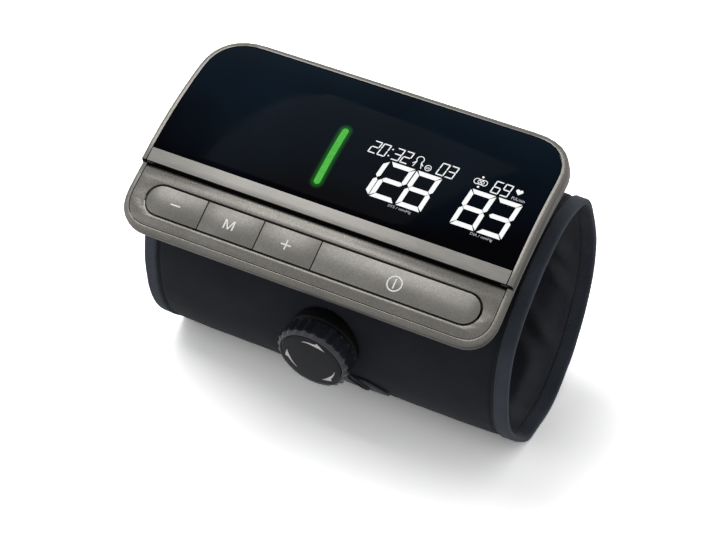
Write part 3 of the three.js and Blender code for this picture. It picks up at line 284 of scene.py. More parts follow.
def metallic_lacquer(name, light, dark, rough, shaded=None):
    """Sprayed metallic lacquer: tiny bright flakes in a warm grey, under a thin satin coat, with a
    painted highlight along its edges. Shaded gives the two places up the housing's slope between
    which a painted shade darkens the lacquer, as the shadow under an overhanging lip."""
    material, shader, add, give, calc = blank_material(name)
    place = add("TexCoord").outputs["Object"]
    flakes = add("TexVoronoi", {"feature": "F1"}, Vector=place, Scale=1 / (0.22 * MM), Randomness=1.0)
    tone = add("SeparateColor", Color=flakes.outputs["Color"])
    cloud = add("TexNoise", Vector=place, Scale=1 / (14 * MM), Detail=3.0)
    mixed = calc("MULTIPLY_ADD", tone, 0.45, calc("MULTIPLY", cloud, 0.55))
    colour = ramp(add, mixed, dark, light, 0.18, 0.82)
    # Painted highlight: along the edges the colour turns nearly twice as light.
    bright = tuple(min(c * 1.9, 1) for c in light[:3]) + (1.0,)
    edge_highlight = edge_mask(add, 0.25, 0.99, 0.55)
    colour = add("Mix", {"data_type": "RGBA"}, _0=edge_highlight, _6=colour, _7=bright).outputs[2]
    # Painted shade: the colour darkens towards the upper place, the shadow under the strip's lip.
    if shaded:
        slope = (0, math.cos(HOUSING_TILT), math.sin(HOUSING_TILT))
        up = add("VectorMath", {"operation": "DOT_PRODUCT"}, _0=place, _1=slope).outputs["Value"]
        start = (HOUSING_PLACE[0] * slope[1] + HOUSING_PLACE[1] * slope[2]) * MM
        clear = add("MapRange", {"interpolation_type": "SMOOTHSTEP"}, Value=up, To_Min=1.0, To_Max=0.06,
                    From_Min=start + shaded[0] * MM, From_Max=start + shaded[1] * MM)
        painted_shade_blend = {"data_type": "RGBA", "blend_type": "MULTIPLY"}
        colour = add("Mix", painted_shade_blend, _0=1.0, _6=colour, _7=clear).outputs[2]
    shine = add("MapRange", Value=tone.outputs[1], To_Min=rough - 0.07, To_Max=rough + 0.07)
    relief = add("Bump", Height=flakes, Strength=0.1, Distance=0.03 * MM)
    give(shader, Base_Color=colour, Roughness=shine, Normal=relief, Metallic=0.85)
    return material


frame_lacquer = metallic_lacquer("frame_lacquer", srgb(120, 117, 112), srgb(92, 90, 86), 0.33)
# Painted shade: a darker copy of the frame's lacquer for its outer walls.
painted_shade_wall_lacquer = metallic_lacquer("painted_shade_wall_lacquer", srgb(82, 78, 73), srgb(62, 59, 55), 0.4)
# Painted shadow: matte black for walls and gaps that lie in shade.
painted_shadow_black = grained("painted_shadow_black", srgb(12, 12, 12), srgb(7, 7, 7), 0.8, 0.3, specular=0.1)
frame_rim = tidy_copy("bezel_frame", "frame_rim", frame_lacquer, 0.12)
accent(frame_rim, painted_shade_wall_lacquer, lambda n, c: n[2] < 0.3 and n[0] * c[0] + n[1] * c[1] > 0)
# The rim's inner walls and the wall at the step are painted black as shadow.
accent(frame_rim, painted_shadow_black, lambda n, c: n[2] < 0.6 and n[0] * c[0] + n[1] * c[1] < 0)
accent(frame_rim, painted_shadow_black, lambda n, c: n[1] < -0.5 and abs(c[1] - STEP_V) < 0.7)


# Display window: one sheet of toughened glass bent to the dome, printed black behind, so that
# the lit marks seem to float in it, with a painted navy reflection towards its back. It is bonded
# on the frame's ledge.

DOME_RADIUS = 146.2
GLASS_FRONT = 18.6
BAR_X, BAR_FRONT, BAR_BACK = -7.8, 12.1, 36.9


def housing_point(x, v, w):
    """A point of the housing's own frame, V up its slope and W out of it, in the part's frame."""
    y = HOUSING_PLACE[0] + v * math.cos(HOUSING_TILT) - w * math.sin(HOUSING_TILT)
    z = HOUSING_PLACE[1] + v * math.sin(HOUSING_TILT) + w * math.cos(HOUSING_TILT)
    return Vector((x, y, z)) * MM


def on_glass(x, s, lift):
    """X across the glass and S along its dome from the front edge of the strip below it."""
    angle = (s - GLASS_FRONT) / DOME_RADIUS
    radius = DOME_RADIUS - 0.05 + lift
    return housing_point(x, radius * math.sin(angle), radius * math.cos(angle) - DOME_RADIUS)


def window_glass():
    """Black glass with a painted reflection that turns it navy higher up, at its back edge, a hard
    clear surface, and a dark green glow round the status bar."""
    material, shader, add, give, calc = blank_material("window_glass")
    place = add("TexCoord").outputs["Object"]
    cloud = add("TexNoise", Vector=place, Scale=1 / (60 * MM), Detail=2.0)
    # Painted reflection: the colour goes from black to navy with height.
    height = calc("MULTIPLY_ADD", cloud, 0.03, add("SeparateXYZ", Vector=place).outputs["Z"])
    rise = add("MapRange", Value=height, From_Min=0.113, From_Max=0.129)
    painted_reflection = ramp(add, rise, srgb(3, 3, 7), srgb(11, 23, 34))
    smear = add("TexNoise", Vector=place, Scale=1 / (11 * MM), Detail=4.0)
    shine = add("MapRange", Value=smear, From_Min=0.35, From_Max=0.7, To_Min=0.05, To_Max=0.13)
    low_end, high_end = (on_glass(BAR_X, s, 0) for s in (BAR_FRONT + 1.2, BAR_BACK - 1.2))
    run = high_end - low_end
    away = add("VectorMath", {"operation": "SUBTRACT"}, _0=place, _1=low_end)
    along = add("VectorMath", {"operation": "DOT_PRODUCT"}, _0=away, _1=run / run.length_squared)
    within = add("Clamp", Value=along.outputs["Value"])
    nearest = add("VectorMath", {"operation": "SCALE"}, _0=run, Scale=within)
    apart = add("VectorMath", {"operation": "DISTANCE"}, _0=away, _1=nearest).outputs["Value"]
    glow = add("MapRange", {"interpolation_type": "SMOOTHERSTEP"}, Value=apart, From_Min=1.2 * MM,
               From_Max=3.4 * MM, To_Min=0.16, To_Max=0.0)
    give(shader, Base_Color=painted_reflection, Roughness=shine, Specular_IOR_Level=0.012, Emission_Strength=glow,
         Emission_Color=srgb(60, 190, 52))
    return material


tidy_copy("display_window", "window_sheet", window_glass(), 0.15)


# Lit marks: white segments and small signs, and the green status bar, all shining through the
# black print from the display behind the glass. They lie in its surface, bent to its dome.

def flat_marks(name, outlines, place, material, body, low=-0.03, high=0.035, strip=2.5):
    """Thin solid marks from flat outlines, cut across into strips so that they bend with the face."""
    work = bmesh.new()
    for outline in outlines:
        corners = [work.verts.new((a, b, 0)) for a, b in outline]
        for triangle in tessellate_polygon([[Vector((a, b, 0)) for a, b in outline]]):
            face = [corners[i] for i in triangle]
            if len(set(face)) == 3:
                work.faces.new(face)
    heights = [v.co.y for v in work.verts]
    for step in range(math.ceil(min(heights) / strip), math.floor(max(heights) / strip) + 1):
        everything = work.verts[:] + work.edges[:] + work.faces[:]
        bmesh.ops.bisect_plane(work, geom=everything, plane_co=(0, step * strip, 0), plane_no=(0, 1, 0),
                               dist=1e-4)
    bmesh.ops.recalc_face_normals(work, faces=work.faces)
    raised = bmesh.ops.extrude_face_region(work, geom=work.faces[:], use_keep_orig=True)
    for item in raised["geom"]:
        if isinstance(item, bmesh.types.BMVert):
            item.co.z = 1
    bmesh.ops.recalc_face_normals(work, faces=work.faces)
    for vertex in work.verts:
        lift = high if vertex.co.z > 0.5 else low
        vertex.co = place(vertex.co.x, vertex.co.y, lift)
    mesh = bpy.data.meshes.new(name)
    work.to_mesh(mesh)
    work.free()
    mesh.materials.append(material)
    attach(placed(name, mesh), body)


def segment_digit(figure, x, s, width, height, stroke, slant, gap):
    """The lit segments of one figure: each a bar with mitred ends, leaning to the right."""
    lit = {"0": "abcdef", "1": "bc", "2": "abged", "3": "abgcd", "6": "afgecd", "8": "abcdefg", "9": "abcdfg"}
    half = height / 2
    t = stroke / 2
    left, right, low, middle, high = t, width - t, t, half, height - t
    ends = {
        "a": ((left, high), (right, high)), "f": ((left, middle), (left, high)),
        "g": ((left, middle), (right, middle)), "b": ((right, middle), (right, high)),
        "d": ((left, low), (right, low)), "e": ((left, low), (left, middle)),
        "c": ((right, low), (right, middle)),
    }
    outlines = []
    for key in lit[figure]:
        (x0, y0), (x1, y1) = ends[key]
        if y0 == y1:
            a, b = x0 + gap, x1 - gap
            if key == "g":
                bar = [(a, y0), (a + t, y0 - t), (b - t, y0 - t), (b, y0), (b - t, y0 + t), (a + t, y0 + t)]
            else:
                out = t if key == "a" else -t
                bar = [(a - t * 0.7, y0 + out), (a + t, y0 - out), (b - t, y0 - out), (b + t * 0.7, y0 + out)]
        else:
            a, b = y0 + gap, y1 - gap
            out = t if key in "bc" else -t
            if key in "fb":
                bar = [(x0, a), (x0 + out, a + t), (x0 + out, b + t * 0.7), (x0 - out, b - t),
                       (x0 - out, a + t)]
            else:
                bar = [(x0 - out, a + t), (x0 + out, a - t * 0.7), (x0 + out, b - t), (x0, b),
                       (x0 - out, b - t)]
        outlines.append([(x + px + slant * py, s + py) for px, py in bar])
    return outlines


def arc_band(x, s, radius, start, end, width, steps=14):
    """A band along an arc, from one angle to another in degrees."""
    angles = [math.radians(start + (end - start) * i / steps) for i in range(steps + 1)]
    outer = [(x + (radius + width / 2) * math.cos(a), s + (radius + width / 2) * math.sin(a)) for a in angles]
    inner = [(x + (radius - width / 2) * math.cos(a), s + (radius - width / 2) * math.sin(a)) for a in angles]
    return outer + inner[::-1]


def bar_mark(x0, s0, x1, s1, width):
    """A straight bar between two points."""
    a, b = Vector((x1 - x0, s1 - s0)).normalized() * width / 2
    return [(x0 + b, s0 - a), (x1 + b, s1 - a), (x1 - b, s1 + a), (x0 - b, s0 + a)]


def disc_mark(x, s, radius, sides=14):
    angles = [2 * math.pi * i / sides for i in range(sides)]
    return [(x + radius * math.cos(a), s + radius * math.sin(a)) for a in angles]


def lit_print(name, colour, strength, speck):
    """Light through the print, a little uneven from the diodes behind it."""
    material, shader, add, give, calc = blank_material(name)
    cells = add("TexNoise", Vector=add("TexCoord").outputs["Object"], Scale=1 / (1.6 * MM), Detail=2.0)
    give(shader, Emission_Color=ramp(add, cells, speck, colour, 0.3, 0.6), Base_Color=(0.01, 0.01, 0.01, 1),
         Specular_IOR_Level=0.02, Emission_Strength=strength, Roughness=0.3)
    return material


white_light = lit_print("white_light", srgb(255, 255, 255), 1.0, srgb(246, 248, 250))
NUMBERS = (
    # figures, their left edges, front edge, width, height, stroke, slant, gap between segments
    ("time_digits", "2032", (3.6, 7.2, 12.7, 16.3), 30.6, 3.1, 5.5, 0.42, 0.13, 0.06),
    ("memory_digits", "03", (30.5, 34.0), 30.6, 3.1, 5.5, 0.42, 0.13, 0.06),
    ("pulse_digits", "69", (51.7, 55.3), 30.6, 3.0, 5.4, 0.42, 0.1, 0.06),
    ("upper_value_digits", "128", (1.95, 12.15, 22.55), 14.4, 9.9, 15.4, 1.75, 0.1, 0.12),
    ("lower_value_digits", "83", (43.75, 53.8), 14.4, 9.7, 15.4, 1.75, 0.1, 0.12),
)
dots = {"time_digits": [disc_mark(11.55, 31.7, 0.3), disc_mark(11.95, 34.7, 0.3)]}
for name, figures, edges, *form in NUMBERS:
    bars = [bar for figure, x in zip(figures, edges) for bar in segment_digit(figure, x, *form)]
    flat_marks(name, bars + dots.get(name, []), on_glass, white_light, "monitor")

heart = []
for i in range(28):
    a = 2 * math.pi * i / 28
    across = 16 * math.sin(a) ** 3
    along = 13 * math.cos(a) - 5 * math.cos(2 * a) - 2 * math.cos(3 * a) - math.cos(4 * a)
    heart.append((61.5 + across * 0.083, 34.3 + along * 0.083))
person = [arc_band(23.1, 34.3, 1.35, -50, 230, 0.3)]
person += [bar_mark(22.2, 33.2, 21.6, 30.8, 0.3), bar_mark(24.0, 33.2, 24.8, 30.8, 0.3)]
person += [bar_mark(24.0, 33.2, 25.1, 32.0, 0.3), bar_mark(22.2, 33.2, 21.0, 32.0, 0.3)]
record_box = [arc_band(27.2, 31.95, 1.15, 0, 358, 0.25, 22)]
record_box += [bar_mark(x, 32.3, x, 31.5, 0.22) for x in (26.7, 27.2, 27.7)]
cuff_sign = [arc_band(45.75, 33.3, 1.15, 40, 320, 0.28), arc_band(48.45, 33.3, 1.15, -140, 140, 0.28),
             bar_mark(46.5, 34.3, 47.7, 34.3, 0.28), bar_mark(46.5, 32.3, 47.7, 32.3, 0.28),
             arc_band(46.6, 33.3, 0.55, 0, 358, 0.22, 12), arc_band(47.9, 33.3, 0.55, 0, 358, 0.22, 12),
             disc_mark(47.05, 35.5, 0.42), disc_mark(47.05, 31.15, 0.42)]
flat_marks("display_signs", [heart] + person + record_box + cuff_sign, on_glass, white_light, "monitor")


def unit_label(text, x, s, height, width):
    """A line of small print as flat outlines, from the built-in sans face."""
    curve = bpy.data.curves.new("unit_text", "FONT")
    curve.body = text
    curve.resolution_u = 2
    holder = placed("unit_text", curve)
    mesh = plain_mesh(holder)
    bpy.data.objects.remove(holder)
    places = np.array([v.co[:2] for v in mesh.vertices])
    low, high = places.min(0), places.max(0)
    places = (places - low) / (high - low) * (width, height) + (x, s)
    outlines = [[tuple(places[i]) for i in polygon.vertices] for polygon in mesh.polygons]
    bpy.data.meshes.remove(mesh)
    return outlines


dim_light = lit_print("dim_light", srgb(206, 210, 214), 0.85, srgb(160, 164, 170))
labels = unit_label("SYS / mmHg", 20.5, 12.5, 1.3, 9.0) + unit_label("DIA / mmHg", 52.4, 12.5, 1.3, 8.4)
labels += unit_label("PUL/min", 59.9, 30.7, 1.2, 5.0)
flat_marks("unit_labels", labels, on_glass, dim_light, "monitor")

green_light = lit_print("green_light", srgb(78, 184, 68), 1.0, srgb(66, 170, 60))
status = arc_band(BAR_X, BAR_BACK - 1.25, 0.62, 0, 180, 1.26, 10)[:11]
status += arc_band(BAR_X, BAR_FRONT + 1.25, 0.62, 180, 360, 1.26, 10)[:11]
flat_marks("status_bar", [status], on_glass, green_light, "monitor", low=-0.03, high=0.04)


# Front strip: a narrow satin-brushed aluminium bar that closes the glass at the front and
# overhangs the key panel. Its grain runs along it and its long edges are broken.

# Its edges are lighter: wear and a painted highlight.
brushed_aluminium = grained("brushed_aluminium", srgb(134, 132, 128), srgb(116, 114, 110), 0.4, 0.35,
                            metal=0.9, stretch=(0.06, 1, 1), bump=0.12, patch_mm=25,
                            wear_and_highlight=srgb(170, 168, 164), edge_band_mm=0.2)
strip_bar = tidy_copy("front_strip", "strip_bar", brushed_aluminium, 0.08)
# The strip's walls and lip are painted black as the shadow of its undercut.
accent(strip_bar, painted_shadow_black, lambda n, c: n[2] < 0.6)


# Key panel and keys: moulded plates in the frame's lacquer. The four keys fill one rounded slot
# with a bevelled edge, flush with the panel, and stand on rubber domes that spring them back.

# The panel darkens near its back edge: painted shadow under the strip's lip.
panel_lacquer = metallic_lacquer("panel_lacquer", srgb(116, 113, 109), srgb(88, 86, 82), 0.3,
                                 shaded=(STEP_V - 1.9, STEP_V - 0.5))
key_lacquer = metallic_lacquer("key_lacquer", srgb(116, 114, 110), srgb(90, 88, 84), 0.34)
# The chamfer round the keys has painted shade where it faces the front and a painted highlight where it faces
# back.
chamfer_painted_shade = metallic_lacquer("chamfer_painted_shade", srgb(58, 57, 54), srgb(46, 45, 42), 0.45)
chamfer_painted_highlight = metallic_lacquer("chamfer_painted_highlight", srgb(214, 211, 206), srgb(190, 187, 182), 0.22)
key_plate = tidy_copy("key_panel", "key_plate", panel_lacquer, 0.1)
# The panel's walls are painted black as shadow.
accent(key_plate, painted_shadow_black, lambda n, c: n[2] < 0.9)


def on_chamfer(n, c):
    """Whether a face of the panel is on the sloped edge round the keys."""
    return 0.5 < n[2] < 0.9 and abs(c[0]) < 68.6 and -37.6 < c[1] < -23.2


accent(key_plate, panel_lacquer, on_chamfer)
accent(key_plate, chamfer_painted_shade, lambda n, c: on_chamfer(n, c) and n[1] < -0.1)
accent(key_plate, chamfer_painted_highlight, lambda n, c: on_chamfer(n, c) and n[1] > 0.2)
for key in ("minus", "memory", "plus", "start"):
    cap = tidy_copy(key + "_key", key + "_cap", key_lacquer, 0.14)
    # The keys' side walls are painted black as shadow.
    accent(cap, painted_shadow_black, lambda n, c: n[2] < 0.7)

KEY_ROW_V = -30.4
PANEL_APEX = (-8.36, -3.13)
KEY_SLOPE = math.asin((PANEL_APEX[0] - KEY_ROW_V) / DOME_RADIUS)
KEY_ROW_W = math.sqrt(DOME_RADIUS**2 - (KEY_ROW_V - PANEL_APEX[0]) ** 2) - DOME_RADIUS + PANEL_APEX[1]


def on_key(x, p, lift):
    """X along the keys and P up their slope, from the middle of the row."""
    q = lift - 0.05
    v = KEY_ROW_V + p * math.cos(KEY_SLOPE) - q * math.sin(KEY_SLOPE)
    return housing_point(x, v, KEY_ROW_W + p * math.sin(KEY_SLOPE) + q * math.cos(KEY_SLOPE))


# The signs on the keys are printed in white ink: minus, M for memory, plus, and start.

white_ink = grained("white_ink", srgb(244, 244, 242), srgb(228, 228, 226), 0.55, 0.2, bump=0.05)
signs = {
    "minus": [bar_mark(-56.4, 0, -52.3, 0, 0.5)],
    "memory": [[(-33.95, -1.85), (-33.35, -1.85), (-33.35, 0.85), (-32.15, -1.85), (-31.65, -1.85),
                (-30.45, 0.85), (-30.45, -1.85), (-29.85, -1.85), (-29.85, 1.75), (-30.6, 1.75),
                (-31.9, -1.2), (-33.2, 1.75), (-33.95, 1.75)]],
    "plus": [[(-10.75, 0.25), (-10.75, -0.25), (-8.95, -0.25), (-8.95, -1.85), (-8.45, -1.85), (-8.45, -0.25),
              (-6.7, -0.25), (-6.7, 0.25), (-8.45, 0.25), (-8.45, 1.85), (-8.95, 1.85), (-8.95, 0.25)]],
    "start": [arc_band(34.4, -0.1, 2.7, 0, 180, 0.5, 24), arc_band(34.4, -0.1, 2.7, 180, 360, 0.5, 24),
              bar_mark(34.4, -1.95, 34.4, 1.75, 0.5)],
}
for key, outlines in signs.items():
    flat_marks(key + "_sign", outlines, on_key, white_ink, key + "_button", high=0.02)


# Cuff sleeve: a padded tube of smooth black fabric over a springy shell and an air bladder,
# sewn at both ends under a binding. The cloth is full between them and a little uneven.

CUFF_POINTS = [
    (75.3, 46), (74, 65), (62, 87.8), (48.5, 93.1), (36.7, 91.7), (16.4, 80.4), (2.2, 65.3), (-1.8, 52),
    (-1.9, 39), (-0.3, 28.5), (3, 20.2), (7.6, 13.4), (13.2, 7.7), (18.9, 2.6), (22, 0.6), (26, -0.1),
    (32, -0.1), (38, 0), (44, 1.4), (50, 4.6), (56, 9.2), (62, 15.2), (70.6, 29.5),
]
CUFF_SHIFT = -27.9348
LAYER_END = 70.5
CREST_FULLNESS, CREST_SPREAD = 1.2, 11.0


def cuff_path(dense=5760):
    """The cuff's section as points and inward directions at even steps of its length."""
    points = np.array(CUFF_POINTS, float)
    count = len(points)
    share = np.arange(dense) / dense * count
    index = share.astype(int)
    t = (share - index)[:, None]
    p0, p1, p2, p3 = (points[(index + k) % count] for k in (-1, 0, 1, 2))
    d0, d1, d2 = (np.maximum(np.linalg.norm(b - a, axis=1, keepdims=True) ** 0.5, 1e-4)
                  for a, b in ((p0, p1), (p1, p2), (p2, p3)))
    t1 = ((p1 - p0) / d0 - (p2 - p0) / (d0 + d1) + (p2 - p1) / d1) * d1
    t2 = ((p2 - p1) / d1 - (p3 - p1) / (d1 + d2) + (p3 - p2) / d2) * d1
    c2 = -3 * p1 + 3 * p2 - 2 * t1 - t2
    c3 = 2 * p1 - 2 * p2 + t1 + t2
    line = p1 + t1 * t + c2 * t**2 + c3 * t**3
    ahead = np.roll(line, -1, 0) - np.roll(line, 1, 0)
    ahead /= np.linalg.norm(ahead, axis=1, keepdims=True)
    inward = np.stack([-ahead[:, 1], ahead[:, 0]], 1)
    reach = np.concatenate([[0], np.cumsum(np.linalg.norm(np.roll(line, -1, 0) - line, axis=1))])
    return line, inward, reach


cuff_line, cuff_inward, cuff_reach = cuff_path()
CUFF_ROUND = cuff_reach[-1]
CREST = cuff_reach[2 * len(cuff_line) // len(CUFF_POINTS)]


def cuff_at(shares, inset):
    """Points of the section at shares of the way round, moved in by inset, never under the floor.
    The padding stands a little fuller round the crest behind the housing."""
    at = (np.asarray(shares, float) % 1) * CUFF_ROUND
    inset = inset - CREST_FULLNESS * np.exp(-(((at - CREST) / CREST_SPREAD) ** 2))
    closed_line = np.vstack([cuff_line, cuff_line[:1]])
    closed_in = np.vstack([cuff_inward, cuff_inward[:1]])
    y, z, ny, nz = (np.interp(at, cuff_reach, column) for column in (*closed_line.T, *closed_in.T))
    return np.stack([y + ny * inset + CUFF_SHIFT, np.maximum(z + nz * inset, inset)], -1)


def even_shares(around):
    return np.arange(around) / around


def ring(x, inset, around):
    """Points in millimetres all round the cuff, X and inset each one number or one per point."""
    return np.column_stack([np.broadcast_to(x, around), cuff_at(even_shares(around), inset)])


def ring_faces(around, across, closed):
    """Faces between rows of points that run round the cuff, and from the last row to the first."""
    return [(row * around + i, row * around + (i + 1) % around,
             (row + 1) % across * around + (i + 1) % around, (row + 1) % across * around + i)
            for row in range(across if closed else across - 1) for i in range(around)]


def face_outward(mesh):
    work = bmesh.new()
    work.from_mesh(mesh)
    bmesh.ops.recalc_face_normals(work, faces=work.faces)
    work.to_mesh(mesh)
    work.free()


def wrapped_grid(name, rows, around, material):
    """A tube of the cuff: a closed profile of X and inset run round the section, with a UV map in
    metres, along X and round the cuff."""
    vertices = np.concatenate([ring(x, inset, around) for x, inset in rows]) * MM
    mesh = bpy.data.meshes.new(name)
    mesh.from_pydata([tuple(v) for v in vertices], [], ring_faces(around, len(rows), True))
    uv = mesh.uv_layers.new(name="cloth")
    for polygon in mesh.polygons:
        for loop, corner, further in zip(polygon.loop_indices, polygon.vertices, (0, 1, 1, 0)):
            turn = (polygon.index % around + further) / around
            uv.data[loop].uv = (vertices[corner][0], turn * CUFF_ROUND * MM)
    mesh.materials.append(material)
    face_outward(mesh)
    for polygon in mesh.polygons:
        polygon.use_smooth = True
    return placed(name, mesh)


def woven(name, light, dark, thread_mm, rough, bump, sheen, rib=(1.0, 1.0)):
    """Cloth on the piece's own UV map: threads both ways, soft patches and a short nap."""
    material, shader, add, give, calc = blank_material(name)
    cloth = add("UVMap", {"uv_map": "cloth"}).outputs["UV"]
    along = add("SeparateXYZ", Vector=cloth).outputs
    waves = [calc("SINE", calc("MULTIPLY", along[axis], 2 * math.pi / (thread_mm * MM) * share))
             for axis, share in zip(("X", "Y"), rib)]
    nap = add("TexNoise", Vector=cloth, Scale=1 / (thread_mm * MM * 0.8), Detail=4.0, Roughness=0.7)
    wide = add("TexNoise", Vector=cloth, Scale=1 / (16 * MM), Detail=3.0)
    height = calc("MULTIPLY_ADD", nap, 0.7, calc("MULTIPLY", calc("MULTIPLY", *waves), 0.5))
    tone = calc("MULTIPLY_ADD", height, 0.35, calc("MULTIPLY", wide, 0.65))
    shine = add("MapRange", Value=nap, To_Min=rough - 0.08, To_Max=min(rough + 0.08, 1.0))
    relief = add("Bump", Height=height, Strength=bump, Distance=thread_mm * MM * 0.4)
    give(shader, Base_Color=ramp(add, tone, dark, light, 0.22, 0.66), Roughness=shine, Normal=relief,
         Specular_IOR_Level=0.25, Sheen_Weight=sheen, Sheen_Roughness=0.5)
    return material


def soft_noise(x, share, wave_mm, seed):
    """Smooth noise on the tube that closes on itself, about -1 to 1."""
    radius = CUFF_ROUND / (2 * math.pi) / wave_mm
    turns = [b * 2 * math.pi for b in share]
    return np.array([noise.noise(Vector((x / wave_mm + seed, radius * math.cos(a), radius * math.sin(a))))
                     for a in turns])


SLEEVE_AROUND = 300
SEAM_LINE, SEAM_DEPTH, SEAM_WIDTH = 68.9, 0.45, 0.55
UNDERSIDE = 2.0


def sleeve_inset(x):
    """Full in the middle, drawn in at the seams, with shallow hollows, puckers by the stitching and
    a narrow furrow where the padding is sewn down beside each binding."""
    shares = even_shares(SLEEVE_AROUND)
    end = abs(x) / LAYER_END
    puckers = 0.35 * max(0, end - 0.86) / 0.14 * soft_noise(x, shares, 5.0, 7.3)
    hollows = 0.22 * soft_noise(x, shares, 26.0, 1.7) + 0.10 * soft_noise(x, shares, 11.0, 4.1)
    furrow = SEAM_DEPTH * math.exp(-(((abs(x) - SEAM_LINE) / SEAM_WIDTH) ** 2))
    return 0.7 * end**9 + 0.25 + furrow + (hollows + puckers) * (1 - 0.6 * end**12)


sleeve_cloth = woven("sleeve_cloth", srgb(32, 35, 43), srgb(19, 21, 27), 0.55, 0.85, 0.35, 0.04)
outside_xs = [*-np.linspace(LAYER_END, 66, 15), *np.linspace(-66, 66, 84)[1:-1],
              *np.linspace(66, LAYER_END, 15)]
sleeve_rows = [(x, sleeve_inset(x)) for x in outside_xs]
sleeve_rows += [(x, UNDERSIDE) for x in np.linspace(LAYER_END, -LAYER_END, 12)]
sleeve = wrapped_grid("sleeve_cover", sleeve_rows, SLEEVE_AROUND, sleeve_cloth)
stand_in(sleeve, "outer_sleeve")


# Shell and bladder: a bent sheet of springy plastic that keeps the cuff round, and a welded
# rubber bladder inside it. Both are closed in between the sleeve and the lining.

def inner_layer(name, node, end, outside, inside, finish):
    """A plain tube between two depths of the cuff's wall, narrower than the cuff."""
    rows = [(x, outside) for x in np.linspace(-end, end, 24)]
    rows += [(x, inside) for x in np.linspace(end, -end, 24)]
    stand_in(wrapped_grid(name, rows, 200, finish), node)


inner_layer("shell_tube", "stiffener_shell", 64.0, 2.35, 3.25,
            grained("shell_sheet", srgb(112, 112, 110), srgb(98, 98, 96), 0.45, 0.8))
inner_layer("bladder_tube", "air_bladder", 61.0, 3.65, 4.75,
            grained("bladder_film", srgb(52, 55, 58), srgb(40, 43, 46), 0.5, 0.5, bump=0.2))


# Lining: a thin slippery black cloth cut larger than the ring it lines, so that it lies in
# loose folds against the arm. It is sewn in under the bindings at both ends.

LINING_AROUND = 240
LINING_ACROSS = 64
stations = np.linspace(-LAYER_END, LAYER_END, LINING_ACROSS)
TRIAL_SCALE = 10
TRIAL_DEPTH = 5.6
FOLD_LIMIT = 4.2


def lining_folds():
    """How far the slack cloth stands in from its ring: it is let go at a larger cut, ten times as
    large as life, pinned at both hems, and held between the ring and a fold's height inside."""
    shares = even_shares(LINING_AROUND)
    rest, inner = (np.concatenate([ring(x, inset, LINING_AROUND) for x in stations])
                   for inset in (TRIAL_DEPTH, TRIAL_DEPTH + 1))
    inward = inner - rest
    starts = rest.copy()
    for k, x in enumerate(stations):
        part = slice(k * LINING_AROUND, (k + 1) * LINING_AROUND)
        stir = 0.25 + 0.5 * soft_noise(x, shares + x / 420, 15.0, 9.1)
        fade = max(0.0, 1 - (abs(x) / LAYER_END) ** 6)
        starts[part] += inward[part] * (stir * fade)[:, None]
    mesh = bpy.data.meshes.new("lining_try")
    faces = ring_faces(LINING_AROUND, LINING_ACROSS, False)
    mesh.from_pydata([tuple(v) for v in starts * MM * TRIAL_SCALE], [], faces)
    cloth = placed("lining_try", mesh)
    hems = cloth.vertex_groups.new(name="hems")
    hems.add([*range(LINING_AROUND), *range(len(rest) - LINING_AROUND, len(rest))], 1.0, "REPLACE")
    drape = cloth.modifiers.new("drape", "CLOTH")
    stuff = {
        "quality": 6, "mass": 0.15, "tension_stiffness": 12, "compression_stiffness": 12,
        "shear_stiffness": 6, "bending_stiffness": 0.12, "shrink_min": -0.075, "vertex_group_mass": "hems",
    }
    for key, value in stuff.items():
        setattr(drape.settings, key, value)
    drape.settings.effector_weights.gravity = 0
    drape.collision_settings.use_collision = False
    drape.collision_settings.use_self_collision = False
    drape.point_cache.frame_start = 1
    drape.point_cache.frame_end = 24
    for step in range(1, 25):
        bpy.context.scene.frame_set(step)
    seen = cloth.evaluated_get(bpy.context.evaluated_depsgraph_get())
    done = np.array([v.co for v in seen.data.vertices]) / (MM * TRIAL_SCALE)
    bpy.context.scene.frame_set(1)
    bpy.data.objects.remove(cloth)
    lift = ((done - rest) * inward).sum(1)
    return np.clip(lift, 0.0, FOLD_LIMIT).reshape(LINING_ACROSS, LINING_AROUND)


# Four long folds that the cloth keeps from being worn: places across the cuff and round it.
WORN_FOLDS = [
    [(46, 1.115), (54, 1.075), (61, 1.036), (70, 0.996)],
    [(48, 1.058), (55, 1.018), (62, 0.984), (70, 0.948)],
    [(46, 0.952), (54, 0.918), (60, 0.897), (70, 0.866)],
    [(46, 0.898), (54, 0.866), (60, 0.845), (63, 0.822), (63, 0.785), (64, 0.735)],
]
WORN_HEIGHT, WORN_WIDTH = 2.3, 2.9
HEM_START, HEM_END = 60.5, LAYER_END - 0.8
LINING_DEPTH, HEM_RISE = 5.15, 3.1


def worn_fold(x):
    """How far the long folds stand in from the ring along one station of the lining."""
    shares = even_shares(LINING_AROUND)
    turns = np.where(shares < 0.5, shares + 1, shares)
    spots = np.column_stack([np.full(LINING_AROUND, x), turns * CUFF_ROUND])
    height = np.zeros(LINING_AROUND)
    for fold in WORN_FOLDS:
        nodes = np.array(fold, float) * (1, CUFF_ROUND)
        nearest = np.full(LINING_AROUND, 1e9)
        for a, b in zip(nodes[:-1], nodes[1:]):
            along = np.clip(((spots - a) @ (b - a)) / ((b - a) @ (b - a)), 0, 1)
            nearest = np.minimum(nearest, np.linalg.norm(spots - a - along[:, None] * (b - a), axis=1))
        height = np.maximum(height, WORN_HEIGHT * np.exp(-((nearest / WORN_WIDTH) ** 2)))
    return height


def lining_inset(x, lift, inside):
    """The lining lies deep in the middle and comes out to the thin hem under each binding."""
    toward = min(max((abs(x) - HEM_START) / (HEM_END - HEM_START), 0), 1)
    depth = LINING_DEPTH - HEM_RISE * toward**2 * (3 - 2 * toward)
    slack = np.maximum(lift * 0.7, worn_fold(x)) + 0.3 * lift
    return depth + slack * (1.0 if inside else 0.92) * (1 - toward**3) + (0.5 if inside else 0.0)


